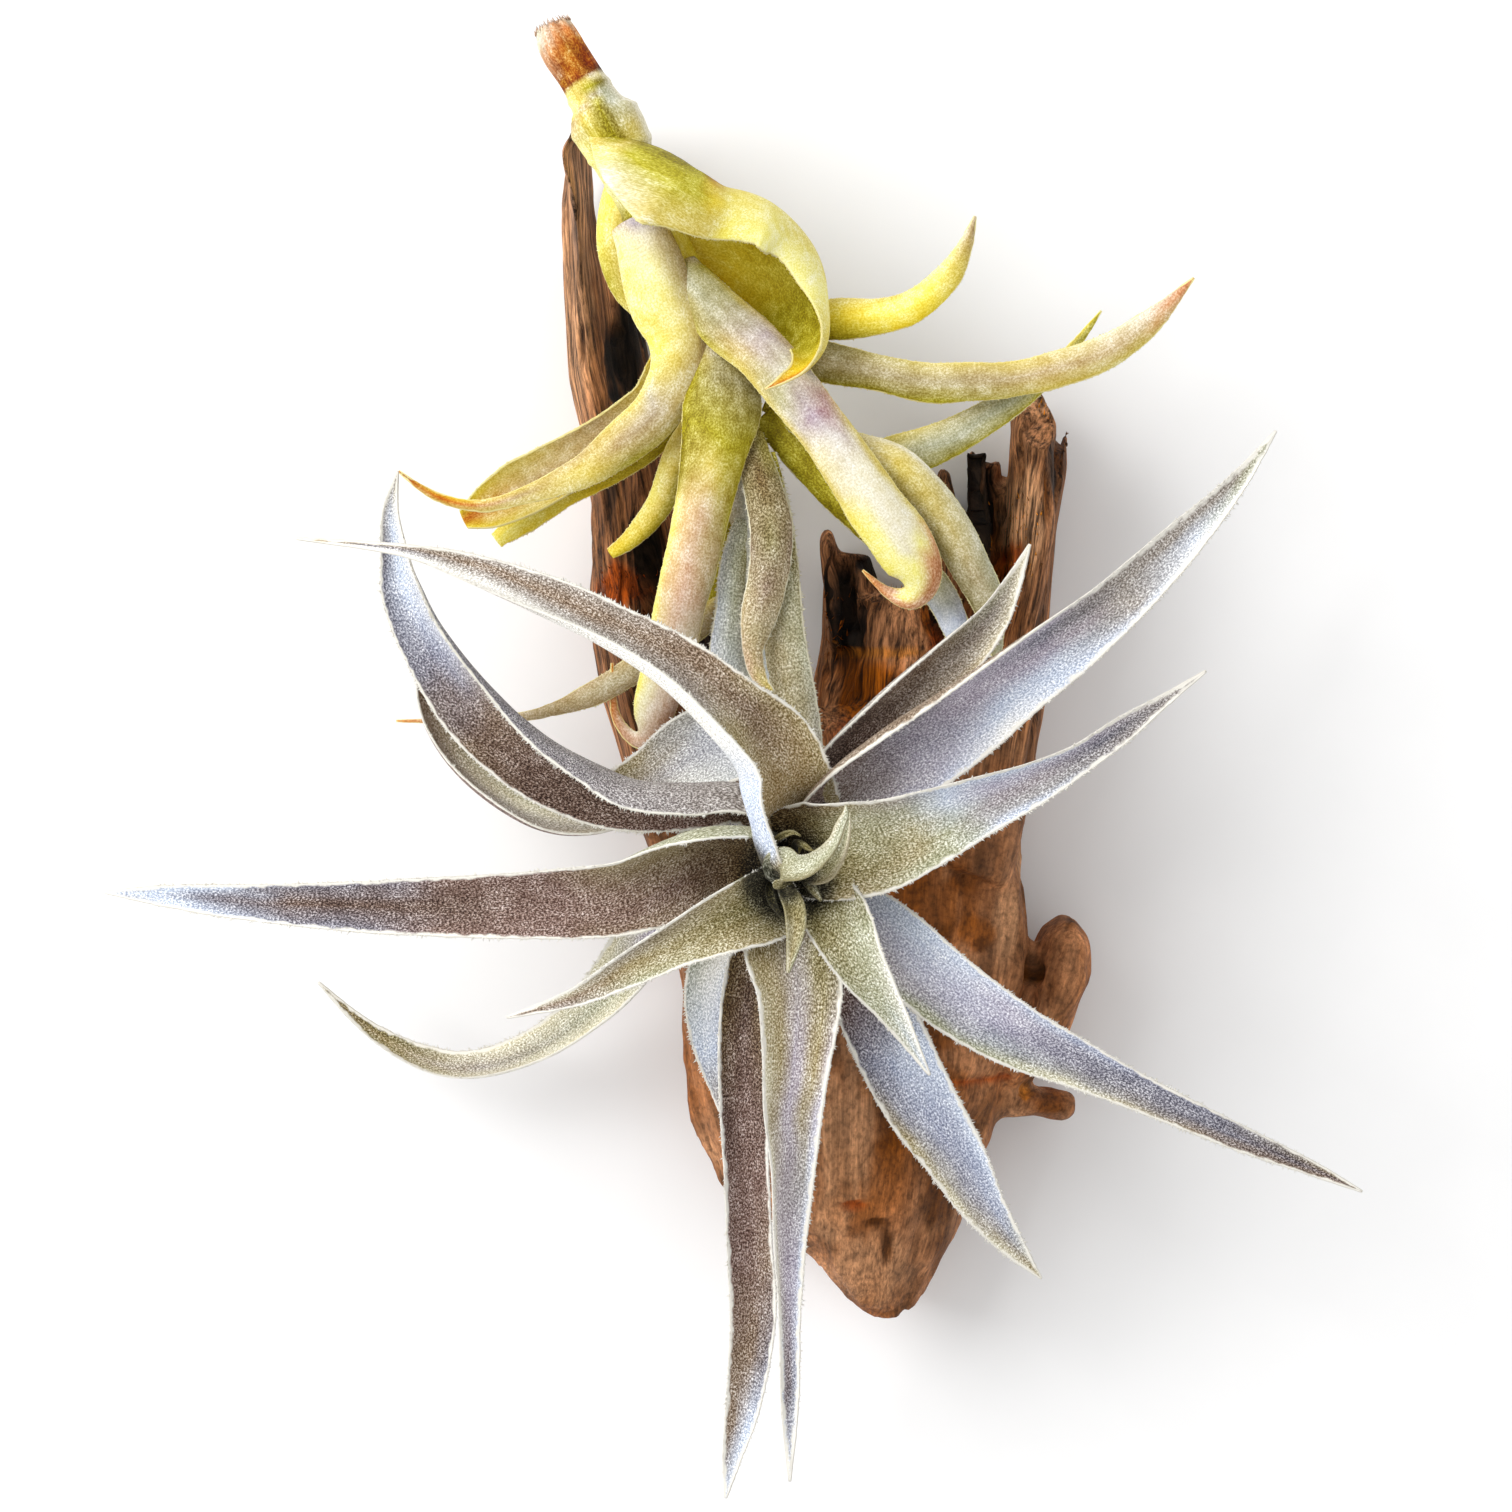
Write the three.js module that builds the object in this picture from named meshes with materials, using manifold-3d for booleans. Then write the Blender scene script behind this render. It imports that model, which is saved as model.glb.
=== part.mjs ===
// Tillandsia edithae, an air plant with a long leafy stem, lying on a forked piece of driftwood.
// Millimetres, +Z up. The origin is on the driftwood's flat resting face, under the heart of the rosette.
// +Y runs from the rosette towards the old cut end of the stem.

import * as THREE from 'three';
import { mergeVertices } from 'three/addons/utils/BufferGeometryUtils.js';
import Module from 'manifold-3d';

// Driving dimensions. A blade is thickest along its middle rib, by a share of its width within two limits.
const EDGE_THICKNESS = 0.7;
const RIB_THICKNESS_OF_WIDTH = 0.16;
const RIB_THICKNESS_MIN = 0.9;
const RIB_THICKNESS_MAX = 1.7;
const CLEARANCE = 0.35;
const BUD_CENTRE = [-1, 0.5, 60];
const BUD_RADIUS = 4;
const BUD_HALF_HEIGHT = 9;

// Ripple of a limb's surface: waves round it, turn of each wave per station and depth as a share of its size
const LIMB_WAVES = [
  { count: 3, turn: 0.9, depth: 0.05 },
  { count: 5, turn: -1.7, depth: 0.03 },
];

// Fineness of the surfaces
const STATIONS_PER_ROW = 1.3;
const POINTS_ACROSS_LEAF = 5;
const STEM_SIDES = 12;
const LIMB_SIDES = 14;
const BUD_SIDES = 12;
const BUD_TIERS = 8;
const REACH_STEPS = 24;

// The flattest channel of a leaf, as a half angle in degrees, and the depth of wood cut off below the rest
const FLATTEST_CHANNEL = 8;
const WOOD_BELOW_REST = 400;

const wasm = await Module();
wasm.setup();

// Looks of the sub-parts
const LOOKS = {
  silver: { color: 0xb4aca4, roughness: 0.85 },
  pale: { color: 0xc2c4b0, roughness: 0.85 },
  yellow: { color: 0xd6cd74, roughness: 0.85 },
  green: { color: 0xb4b272, roughness: 0.85 },
  stem: { color: 0xcfcf8e, roughness: 0.85 },
  heart: { color: 0xa5a488, roughness: 0.85 },
  wood: { color: 0x9a6540, roughness: 0.8 },
};

// Leaves. A row is one station along a leaf, root first: x, y and height of its middle line, width across as
// seen from above, roll of the face towards the leaf's right hand and half angle of its channel, in degrees.
// A negative angle makes the leaf round on top.
const LEAVES = [
  {
    name: 'leaf_ene_front',
    look: 'silver',
    rows: [
      [-3, 2.5, 56, 6.5, 0, 60],
      [-0.5, 3, 59, 12.5, 6, 64],
      [3, 3, 62, 15, 8, 62],
      [6.5, 3, 65, 15.5, 10, 57],
      [12.5, 4, 67, 15, 12, 50],
      [19.5, 6.5, 69, 12.5, 14, 52],
      [28, 10, 69, 9.5, 18, 56],
      [36.5, 13.5, 68, 7, 22, 58],
      [44, 17.5, 67, 5, 22, 55],
      [51.5, 22.5, 66, 4, 15, 52],
      [58, 27, 65, 2, 8, 45],
      [64.5, 31.5, 64, 0.5, 0, 35],
    ],
  },
  {
    name: 'leaf_nw_long',
    look: 'silver',
    rows: [
      [1.5, 2.5, 53, 13.5, 58, 82],
      [0, 7.5, 59, 14.5, 56, 84],
      [-1.5, 12.5, 63, 14.5, 48, 81],
      [-4.5, 19.5, 66, 13.5, 48, 82],
      [-10.5, 25.5, 69, 10.5, 48, 82],
      [-19, 32.5, 70, 8.5, 50, 82],
      [-28.5, 38, 69, 7, 50, 80],
      [-39, 43, 66, 6.5, 40, 75],
      [-52.5, 48, 62, 4.5, 25, 65],
      [-64, 51, 60, 2, 10, 55],
      [-81, 53, 57, 0.5, 0, 40],
    ],
  },
  {
    name: 'leaf_sw_short',
    look: 'silver',
    rows: [
      [-2, -4, 52, 9.5, -10, 60],
      [-4, -5, 59, 12, -10, 58],
      [-7.5, -6.5, 64, 12, -12, 58],
      [-12.5, -8.5, 67, 10, -15, 60],
      [-19, -11.5, 67, 7.5, -15, 60],
      [-27.5, -16, 65, 5.5, -12, 58],
      [-36, -20.5, 62, 3, -8, 50],
      [-47, -24, 58, 0.5, 0, 40],
    ],
  },
  {
    name: 'leaf_se_short',
    look: 'silver',
    rows: [
      [3, -2.5, 61, 7.5, 0, 55],
      [6, -8, 67, 10.5, 0, 52],
      [9.5, -15, 69, 8, 0, 50],
      [14.5, -22.5, 68, 4.5, 0, 45],
      [20.5, -32.5, 66, 0.5, 0, 35],
    ],
  },
  {
    name: 'leaf_s_front',
    look: 'silver',
    rows: [
      [0, -6, 56, 9.5, 0, 55],
      [-1, -12, 61, 15.5, -5, 50],
      [0, -20, 63, 13.5, -8, 50],
      [-0.5, -30, 63, 11, -12, 55],
      [-1, -37.5, 62, 9.5, -18, 60],
      [-1, -48.5, 60, 7, -25, 66],
      [-1.5, -61.5, 57, 5, -25, 66],
      [-1.5, -73, 55, 3.5, -20, 60],
      [-1.5, -86.5, 53, 3, -10, 55],
      [-1.5, -100, 51, 0.5, 0, 40],
    ],
  },
  {
    name: 'leaf_ne_long',
    look: 'silver',
    rows: [
      [2, 4, 49, 7.5, 20, 60],
      [8, 10, 55, 11.5, 34, 72],
      [17, 16.5, 59, 13, 38, 78],
      [25.5, 22.5, 61, 12.5, 36, 78],
      [34.5, 29.5, 62, 11, 30, 74],
      [43, 36, 61, 10, 22, 66],
      [52, 43.5, 60, 8.5, 12, 56],
      [61, 52, 58, 6.5, 5, 50],
      [70, 61.5, 56, 3.5, 0, 45],
      [77, 70.5, 55, 0.5, 0, 35],
    ],
  },
  {
    name: 'leaf_ese_long',
    look: 'silver',
    rows: [
      [6, -4.5, 51, 7.5, 0, 45],
      [14, -11, 56, 11.5, 0, 45],
      [23.5, -19.5, 58, 12, 0, 42],
      [34, -26.5, 57, 10.5, 0, 40],
      [44.5, -31.5, 55, 8, 0, 40],
      [55, -36.5, 53, 6, 0, 40],
      [70, -43.5, 50, 4.5, 0, 38],
      [84, -49.5, 47, 2.5, 0, 35],
      [92.5, -53.5, 46, 0.5, 0, 30],
    ],
  },
  {
    name: 'leaf_se_long',
    look: 'silver',
    rows: [
      [4, -6.5, 49, 7.5, 0, 40],
      [8.5, -15, 52, 10, 0, 40],
      [13.5, -26, 52, 12.5, 0, 38],
      [19.5, -38, 50, 12, 0, 35],
      [25.5, -47.5, 47, 10, 0, 32],
      [30, -55.5, 44, 7.5, 0, 30],
      [35, -62.5, 41, 4.5, 0, 30],
      [40.5, -69, 38, 0.5, 0, 30],
    ],
  },
  {
    name: 'leaf_s_long',
    look: 'silver',
    rows: [
      [-2.5, -6.5, 48, 7.5, 0, 55],
      [-7, -15, 53, 8.5, 0, 58],
      [-9, -26, 55, 8, 0, 60],
      [-9, -36, 55, 8, 0, 60],
      [-8.5, -49.5, 53, 7.5, 0, 58],
      [-8, -62.5, 50, 7.5, 0, 55],
      [-7.5, -73.5, 48, 7.5, 0, 50],
      [-9, -87.5, 46, 6, 5, 50],
      [-11, -98, 44, 3, 0, 45],
      [-12, -104.5, 43, 0.5, 0, 40],
    ],
  },
  {
    name: 'leaf_w_long',
    look: 'silver',
    rows: [
      [-0.5, 1, 50, 7.5, -50, 60],
      [-12.5, 0, 55, 12.5, -52, 72],
      [-19.5, -2, 56, 13, -38, 72],
      [-29, -5, 56, 12, -18, 62],
      [-42, -6, 54, 11, -5, 50],
      [-65, -6.5, 51, 9, 0, 42],
      [-90, -6, 46, 6, 0, 42],
      [-104.5, -5, 44, 3.5, 0, 40],
      [-114.5, -4.5, 43, 0.5, 0, 35],
    ],
  },
  {
    name: 'leaf_w_upper',
    look: 'silver',
    rows: [
      [0, 6.5, 47, 6, -74, 70],
      [-10, 10, 51, 6.5, -80, 84],
      [-17.5, 9.5, 51, 7.5, -78, 84],
      [-26, 9.5, 50, 8, -74, 82],
      [-34, 11.5, 48, 9.5, -62, 86],
      [-44, 16.5, 47, 10, -50, 86],
      [-54, 25.5, 46, 10, -36, 80],
      [-61.5, 36.5, 46, 8, -34, 75],
      [-65, 44.5, 46, 7, -28, 70],
      [-66, 50.5, 47, 5, -20, 65],
      [-66.5, 57.5, 50, 3, -10, 60],
      [-65, 64, 54, 0.5, 0, 45],
    ],
  },
  {
    name: 'leaf_nne_short',
    look: 'silver',
    rows: [
      [1, 7.5, 45, 6, 20, 60],
      [7, 16, 48, 8, 30, 70],
      [16, 24.5, 51, 9, 34, 74],
      [24, 32, 52, 8, 30, 72],
      [30.5, 39, 53, 6, 20, 65],
      [34, 45, 55, 3.5, 10, 55],
      [37, 52, 58, 0.5, 0, 40],
    ],
  },
  {
    name: 'leaf_w_lower',
    look: 'silver',
    rows: [
      [-3.5, 20.5, 40, 8, -10, 50],
      [-10, 21, 43, 13, 0, 50],
      [-17, 18.5, 43, 13.5, 8, 52],
      [-25, 13.5, 40.5, 10.5, 22, 56],
      [-34.5, 9.5, 37, 8.5, 38, 60],
      [-43, 10.5, 34, 8.5, 45, 65],
      [-53.5, 17, 32, 7.5, 45, 65],
      [-60.5, 25.5, 31, 5.5, 40, 60],
      [-63, 34, 33, 2.5, 30, 50],
      [-64.5, 40, 35, 0.5, 0, 40],
    ],
  },
  {
    name: 'leaf_s_back',
    look: 'silver',
    rows: [
      [0.5, 6.5, 45, 5, 0, 40],
      [-4.5, -5, 43, 7, 0, 40],
      [-10.5, -11.5, 43, 9, 0, 40],
      [-14.5, -20, 42, 8.5, 0, 38],
      [-14.5, -29, 41, 6.5, 0, 35],
      [-13.5, -36.5, 40, 3, 0, 35],
      [-13, -41, 40, 0.5, 0, 30],
    ],
  },
  {
    name: 'leaf_sw_low',
    look: 'silver',
    rows: [
      [-3.5, 12.5, 41, 6.5, 0, 50],
      [-10, 8.5, 42, 8.5, 0, 50],
      [-16, 2.5, 40, 9.5, 0, 52],
      [-21.5, -6, 36, 10, 0, 55],
      [-28.5, -16.5, 31, 9, 15, 60],
      [-36, -25, 26, 7, 25, 62],
      [-45, -31.5, 21, 5.5, 35, 62],
      [-55.5, -35, 18, 4.5, 40, 62],
      [-64.5, -34, 16, 4, 35, 58],
      [-74, -29, 16, 2.5, 20, 50],
      [-82.5, -21, 18, 0.5, 0, 40],
    ],
  },
  {
    name: 'stem_leaf_front',
    look: 'pale',
    rows: [
      [-8.5, 71.5, 41, 5, 0, -45],
      [-6, 62.5, 45, 6.5, 0, -45],
      [-4.5, 55, 47, 7, 0, -45],
      [-5, 47.5, 47, 6.5, 0, -45],
      [-6.5, 41, 47, 6, 0, -50],
      [-7.5, 35.5, 47, 3.5, 0, -50],
      [-6.5, 31, 47, 2.5, 0, -40],
      [-4, 28.5, 47, 0.5, 0, -30],
    ],
  },
  {
    name: 'stem_leaf_right',
    look: 'pale',
    rows: [
      [-6, 68, 41, 4.5, 25, -50],
      [-4, 57, 42, 6, 30, -55],
      [-3, 47, 43, 6.5, 30, -55],
      [-2.5, 37, 43, 7.5, 30, -55],
      [-1, 27, 44, 8, 25, -55],
      [0.5, 19, 46, 7, 20, -50],
      [1.5, 12.5, 47, 3.5, 10, -45],
    ],
  },
  {
    name: 'stem_leaf_left',
    look: 'pale',
    rows: [
      [-8.5, 57, 40, 4, -20, -40],
      [-10.5, 49.5, 41, 5, -20, -40],
      [-11, 42, 41, 5.5, -20, -40],
      [-11.5, 34.5, 41, 6.5, -20, -45],
      [-10.5, 27.5, 41, 5.5, -10, -45],
      [-8.5, 21.5, 41, 1, 0, -30],
    ],
  },
  {
    name: 'old_leaf_hook',
    look: 'yellow',
    rows: [
      [-33, 123.5, 41, 2.5, 120, 45],
      [-30.5, 118.5, 43.5, 6.5, 114, 62],
      [-26, 113, 45.5, 11.5, 100, 72],
      [-21.5, 108.5, 44.5, 14, 84, 85],
      [-16.5, 105, 42, 14.5, 74, 95],
      [-9, 102, 39, 16, 68, 100],
      [-3, 97.5, 39, 13.5, 66, 100],
      [0.5, 90.5, 43, 9, 62, 98],
      [1.5, 85, 49, 6, 55, 85],
      [0, 81, 54, 3, 40, 70],
      [-3, 78.5, 56, 1.5, 20, 50],
      [-5.5, 77, 57, 0.5, 0, 40],
    ],
  },
  {
    name: 'old_leaf_cross',
    look: 'yellow',
    rows: [
      [-20.5, 99, 40, 7.5, 0, -35],
      [-16, 94, 43.5, 8.5, 0, -38],
      [-11.5, 89, 46, 9.5, 0, -40],
      [-6.5, 84.5, 48, 9, 0, -45],
      [-1.5, 78.5, 49, 9, 0, -45],
      [3.5, 72, 50, 8.5, 0, -45],
      [8, 65.5, 51, 9, 0, -45],
      [13, 58, 51, 9.5, 0, -45],
      [17.5, 52, 50, 10, 0, -45],
      [19.5, 47, 48.5, 8, 0, -40],
      [18, 44, 47, 4.5, 0, -30],
      [14.5, 45, 45.5, 2, 0, -30],
      [10.5, 48.5, 46, 0.5, 0, -30],
    ],
  },
  {
    name: 'old_leaf_centre',
    look: 'yellow',
    rows: [
      [-12.5, 87, 42, 7.5, 0, -45],
      [-12.5, 76.5, 46, 13, 0, -45],
      [-14, 68, 47, 11, 0, -50],
      [-15.5, 60, 47, 9.5, 0, -55],
      [-17.5, 51, 47, 9, 0, -55],
      [-19.5, 43, 46, 8.5, 0, -55],
      [-21.5, 34, 44, 8, 0, -55],
      [-23.5, 27, 42, 7.5, 0, -50],
      [-25, 22, 39, 5.5, 0, -40],
      [-27.5, 21, 36, 2.5, 0, -30],
      [-30.5, 25, 35, 1.5, 0, -30],
      [-31, 33.5, 37, 0.5, 0, -30],
    ],
  },
  {
    name: 'old_leaf_left',
    look: 'yellow',
    rows: [
      [-27, 107, 41.5, 8.5, 0, -45],
      [-24.5, 100, 43.5, 10.5, 0, -50],
      [-22.5, 93, 44, 11, 0, -50],
      [-20, 87.5, 44, 10, 0, -50],
      [-20.5, 81.5, 44, 8, 0, -50],
      [-23.5, 75, 43, 8, 0, -50],
      [-29.5, 69.5, 42, 7.5, 0, -45],
      [-36, 65, 41, 5.5, 10, -40],
      [-44.5, 61.5, 41, 3, 15, -35],
      [-52.5, 59.5, 41, 2, 0, -30],
      [-60, 61, 41, 1.5, 0, -30],
      [-66, 65, 43, 0.5, 0, -30],
    ],
  },
  {
    name: 'old_leaf_se_outer',
    look: 'green',
    rows: [
      [-5, 77.5, 38, 4, 0, -40],
      [7.5, 69, 44, 6.5, 0, -45],
      [15.5, 66, 46, 7, 0, -45],
      [20.5, 61.5, 46, 7, 0, -45],
      [25, 55.5, 45, 7, 0, -45],
      [28.5, 49, 44, 6.5, 0, -45],
      [31.5, 43, 43, 5.5, 0, -40],
      [32.5, 37, 42, 3, 0, -35],
      [33, 32.5, 41, 0.5, 0, -30],
    ],
  },
  {
    name: 'old_leaf_se_inner',
    look: 'green',
    rows: [
      [-5.5, 75, 39, 5.5, 0, -40],
      [0.5, 68.5, 39, 6.5, 0, -45],
      [6.5, 62, 39, 6.5, 0, -45],
      [13, 56, 39, 6.5, 0, -45],
      [18.5, 50.5, 39, 6, 0, -40],
      [23.5, 45, 39, 5.5, 0, -40],
      [26.5, 38.5, 39, 4.5, 0, -40],
      [28, 33, 39, 2.5, 0, -35],
      [28.5, 28.5, 39, 0.5, 0, -30],
    ],
  },
  {
    name: 'old_leaf_e_long',
    look: 'yellow',
    rows: [
      [-10, 88, 36, 5, 0, -40],
      [-4.5, 86, 38.5, 6, 0, -40],
      [3.5, 83.5, 42, 7, 0, -45],
      [13.5, 81, 45, 6, 0, -45],
      [21, 79.5, 46, 6.5, 0, -45],
      [29, 79.5, 47, 6.5, 0, -45],
      [36, 80, 47, 6, 0, -45],
      [42.5, 81.5, 48, 6, 0, -45],
      [50, 84, 49, 5.5, 0, -45],
      [57, 88.5, 51, 4, 0, -40],
      [64, 95.5, 53, 0.5, 0, -30],
    ],
  },
  {
    name: 'old_leaf_ne_upper',
    look: 'yellow',
    rows: [
      [1.5, 90, 39, 5, 0, -40],
      [5.5, 90.5, 41, 7, 0, -45],
      [12, 90.5, 43, 6, 0, -45],
      [18.5, 92, 45, 5.5, 0, -45],
      [24, 96, 48, 4.5, 0, -40],
      [27, 101, 51, 2.5, 0, -35],
      [28.5, 105.5, 53, 0.5, 0, -30],
    ],
  },
  {
    name: 'old_leaf_e_back',
    look: 'green',
    rows: [
      [3, 68.5, 40, 5.5, 0, -40],
      [12, 66.5, 41, 7.5, 0, -45],
      [17.5, 68, 41, 7.5, 0, -45],
      [24.5, 70.5, 41, 6.5, 0, -45],
      [31, 74, 41, 5.5, 0, -45],
      [37, 78, 41, 4.5, 0, -40],
      [43.5, 83.5, 41, 2.5, 0, -35],
      [47, 87.5, 42, 1.5, 0, -30],
      [50, 91.5, 43, 0.5, 0, -30],
    ],
  },
  {
    name: 'old_sheath',
    look: 'yellow',
    rows: [
      [-28, 115, 38, 6.5, 0, -50],
      [-29.5, 108.5, 36, 8, 0, -55],
      [-29.5, 102, 35, 8, 0, -55],
      [-27.5, 95.5, 34, 6, 0, -50],
      [-25.5, 91, 34, 1.5, 0, -35],
    ],
  },
  {
    name: 'old_leaf_left_back',
    look: 'yellow',
    rows: [
      [-21.5, 85.5, 35, 5.5, 0, 40],
      [-24, 78.5, 34, 7, 0, 45],
      [-29.5, 73, 33, 8, 0, 50],
      [-37.5, 67.5, 33, 9, 0, 52],
      [-46, 63, 33, 9.5, 0, 55],
      [-52, 59.5, 34, 7.5, 0, 55],
      [-56, 57.5, 35, 3.5, 0, 50],
    ],
  },
  {
    name: 'old_leaf_left_low',
    look: 'yellow',
    rows: [
      [-21, 74.5, 34, 3.5, 0, -40],
      [-25, 70, 33, 4.5, 0, -40],
      [-31.5, 66, 31, 4.5, 0, -40],
      [-38.5, 63, 30, 5, 0, -40],
      [-45, 59, 29, 5, 0, -30],
      [-51, 54.5, 28, 3, 0, -20],
    ],
  },
  {
    name: 'old_leaf_spur',
    look: 'yellow',
    rows: [
      [-15.5, 77.5, 37, 3.5, 0, -40],
      [-20.5, 67.5, 37, 4.5, 0, -45],
      [-23, 60.5, 35, 4.5, 0, -45],
      [-27.5, 55, 34, 3.5, 0, -40],
      [-31.5, 52, 33, 2, 0, -30],
    ],
  },
  {
    name: 'old_leaf_sw_thin',
    look: 'green',
    rows: [
      [-10.5, 44.5, 38, 4, 0, -40],
      [-22.5, 35.5, 38, 5, 0, -45],
      [-29.5, 31, 37, 4.5, 0, -45],
      [-35, 28, 37, 4, 0, -45],
      [-40.5, 26, 35, 2.5, 0, -40],
      [-47.5, 24.5, 31, 1.5, 0, -40],
      [-59, 24, 25, 1, 0, -35],
      [-68.5, 24, 23, 0.5, 0, -30],
    ],
  },
  {
    name: 'old_leaf_s_inner',
    look: 'green',
    rows: [
      [-8.5, 70.5, 38, 4.5, 0, -40],
      [-10.5, 60.5, 38, 5.5, 0, -40],
      [-11.5, 50.5, 38, 5.5, 0, -40],
      [-13.5, 44, 37, 4.5, 0, -35],
      [-15, 40, 36, 1, 0, -30],
    ],
  },
];

// The young leaves in the heart, in rows like the leaves' own
const HEART_LEAVES = {
  crescent: [
    [-2.5, 0.25, 62, 4.25, 0, 60],
    [-3.25, 0.5, 69, 5.25, -10, 65],
    [-2, 1, 72, 5.75, -22, 70],
    [-0.25, 0.75, 74, 4, -30, 70],
    [1.75, 1.5, 76, 3, -35, 70],
    [3.75, 3.25, 78, 2.25, -35, 70],
    [5, 5, 79.5, 1.75, -30, 65],
    [6, 7.5, 81, 1.5, -20, 60],
    [6.75, 9.25, 82, 1, -10, 50],
    [6.75, 10.5, 82, 0.25, 0, 40],
  ],
  outerCrescent: [
    [0.25, -0.5, 62, 2.75, 0, 50],
    [2.25, -0.5, 68, 3.25, -15, 60],
    [4.25, 0.25, 71, 3, -30, 65],
    [5.75, 2.25, 73, 2.25, -30, 65],
    [6.75, 4.5, 75, 1.5, -25, 60],
    [7.25, 6.75, 76, 1, -15, 50],
    [7.5, 9.25, 77, 0.25, 0, 40],
  ],
  downSpear: [
    [-2.25, -0.5, 60, 2.25, 0, 60],
    [-2, -3.25, 66, 2.75, 0, 70],
    [-1, -5.75, 70, 3.25, 0, 75],
    [-0.75, -8.25, 71, 3.25, 0, 70],
    [-1, -10.75, 71.5, 2.5, 0, 70],
    [-1.5, -13.5, 71.5, 1.5, 0, 60],
    [-2, -16, 71, 0.5, 0, 50],
  ],
  smallSpear: [
    [0, 0.25, 62, 1.5, 0, 40],
    [1, -1.75, 67, 1.5, 0, 45],
    [2, -3, 69, 1.5, 0, 45],
    [3.25, -4.75, 70, 0.5, 0, 40],
  ],
  innerBlade: [
    [-3.75, 1.75, 61, 1.5, 0, 50],
    [-4, 4.25, 68, 1, 30, 60],
    [-2.75, 5.5, 71, 1, 40, 60],
    [-1.25, 6, 72, 0.75, 30, 50],
    [0, 5.5, 72, 0.25, 10, 40],
  ],
  budTip: [
    [-1, 2, 61, 1.5, 0, 60],
    [-0.75, 4.25, 67, 1, 0, 60],
    [0.5, 4, 70, 1, 0, 60],
    [1.25, 3.5, 71, 0.75, 0, 55],
    [2.25, 3, 71, 0.25, 0, 40],
  ],
  leftRidge: [
    [-2.5, -1, 58, 2, 0, 40],
    [-4.75, -2.75, 63, 1.5, 0, 50],
    [-4.5, -4.75, 65, 1.5, 0, 50],
    [-3.75, -6.25, 66, 1, 0, 45],
    [-2.5, -8, 66, 0.5, 0, 40],
  ],
};

// The stem from its old cut end to the heart: x, y, height and radius
const STEM = [
  [-40.5, 138.5, 43, 3],
  [-39, 135, 43, 4],
  [-36, 130.5, 42, 4],
  [-33.5, 126, 42, 4.5],
  [-32, 123, 42, 5.5],
  [-30, 119.5, 41, 5.5],
  [-28.5, 116, 40, 5],
  [-26, 110.5, 37, 4.5],
  [-21.5, 101.5, 36, 4.5],
  [-16.5, 89, 36, 4.5],
  [-12, 76, 36, 4.5],
  [-8.5, 62.5, 36, 4.5],
  [-6, 47.5, 37, 4.5],
  [-4, 34, 38, 4.5],
  [-1.5, 21.5, 40, 4.5],
  [0, 11.5, 45, 4.5],
  [1, 4.5, 52, 4],
  [1, 1, 60, 3],
];

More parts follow.
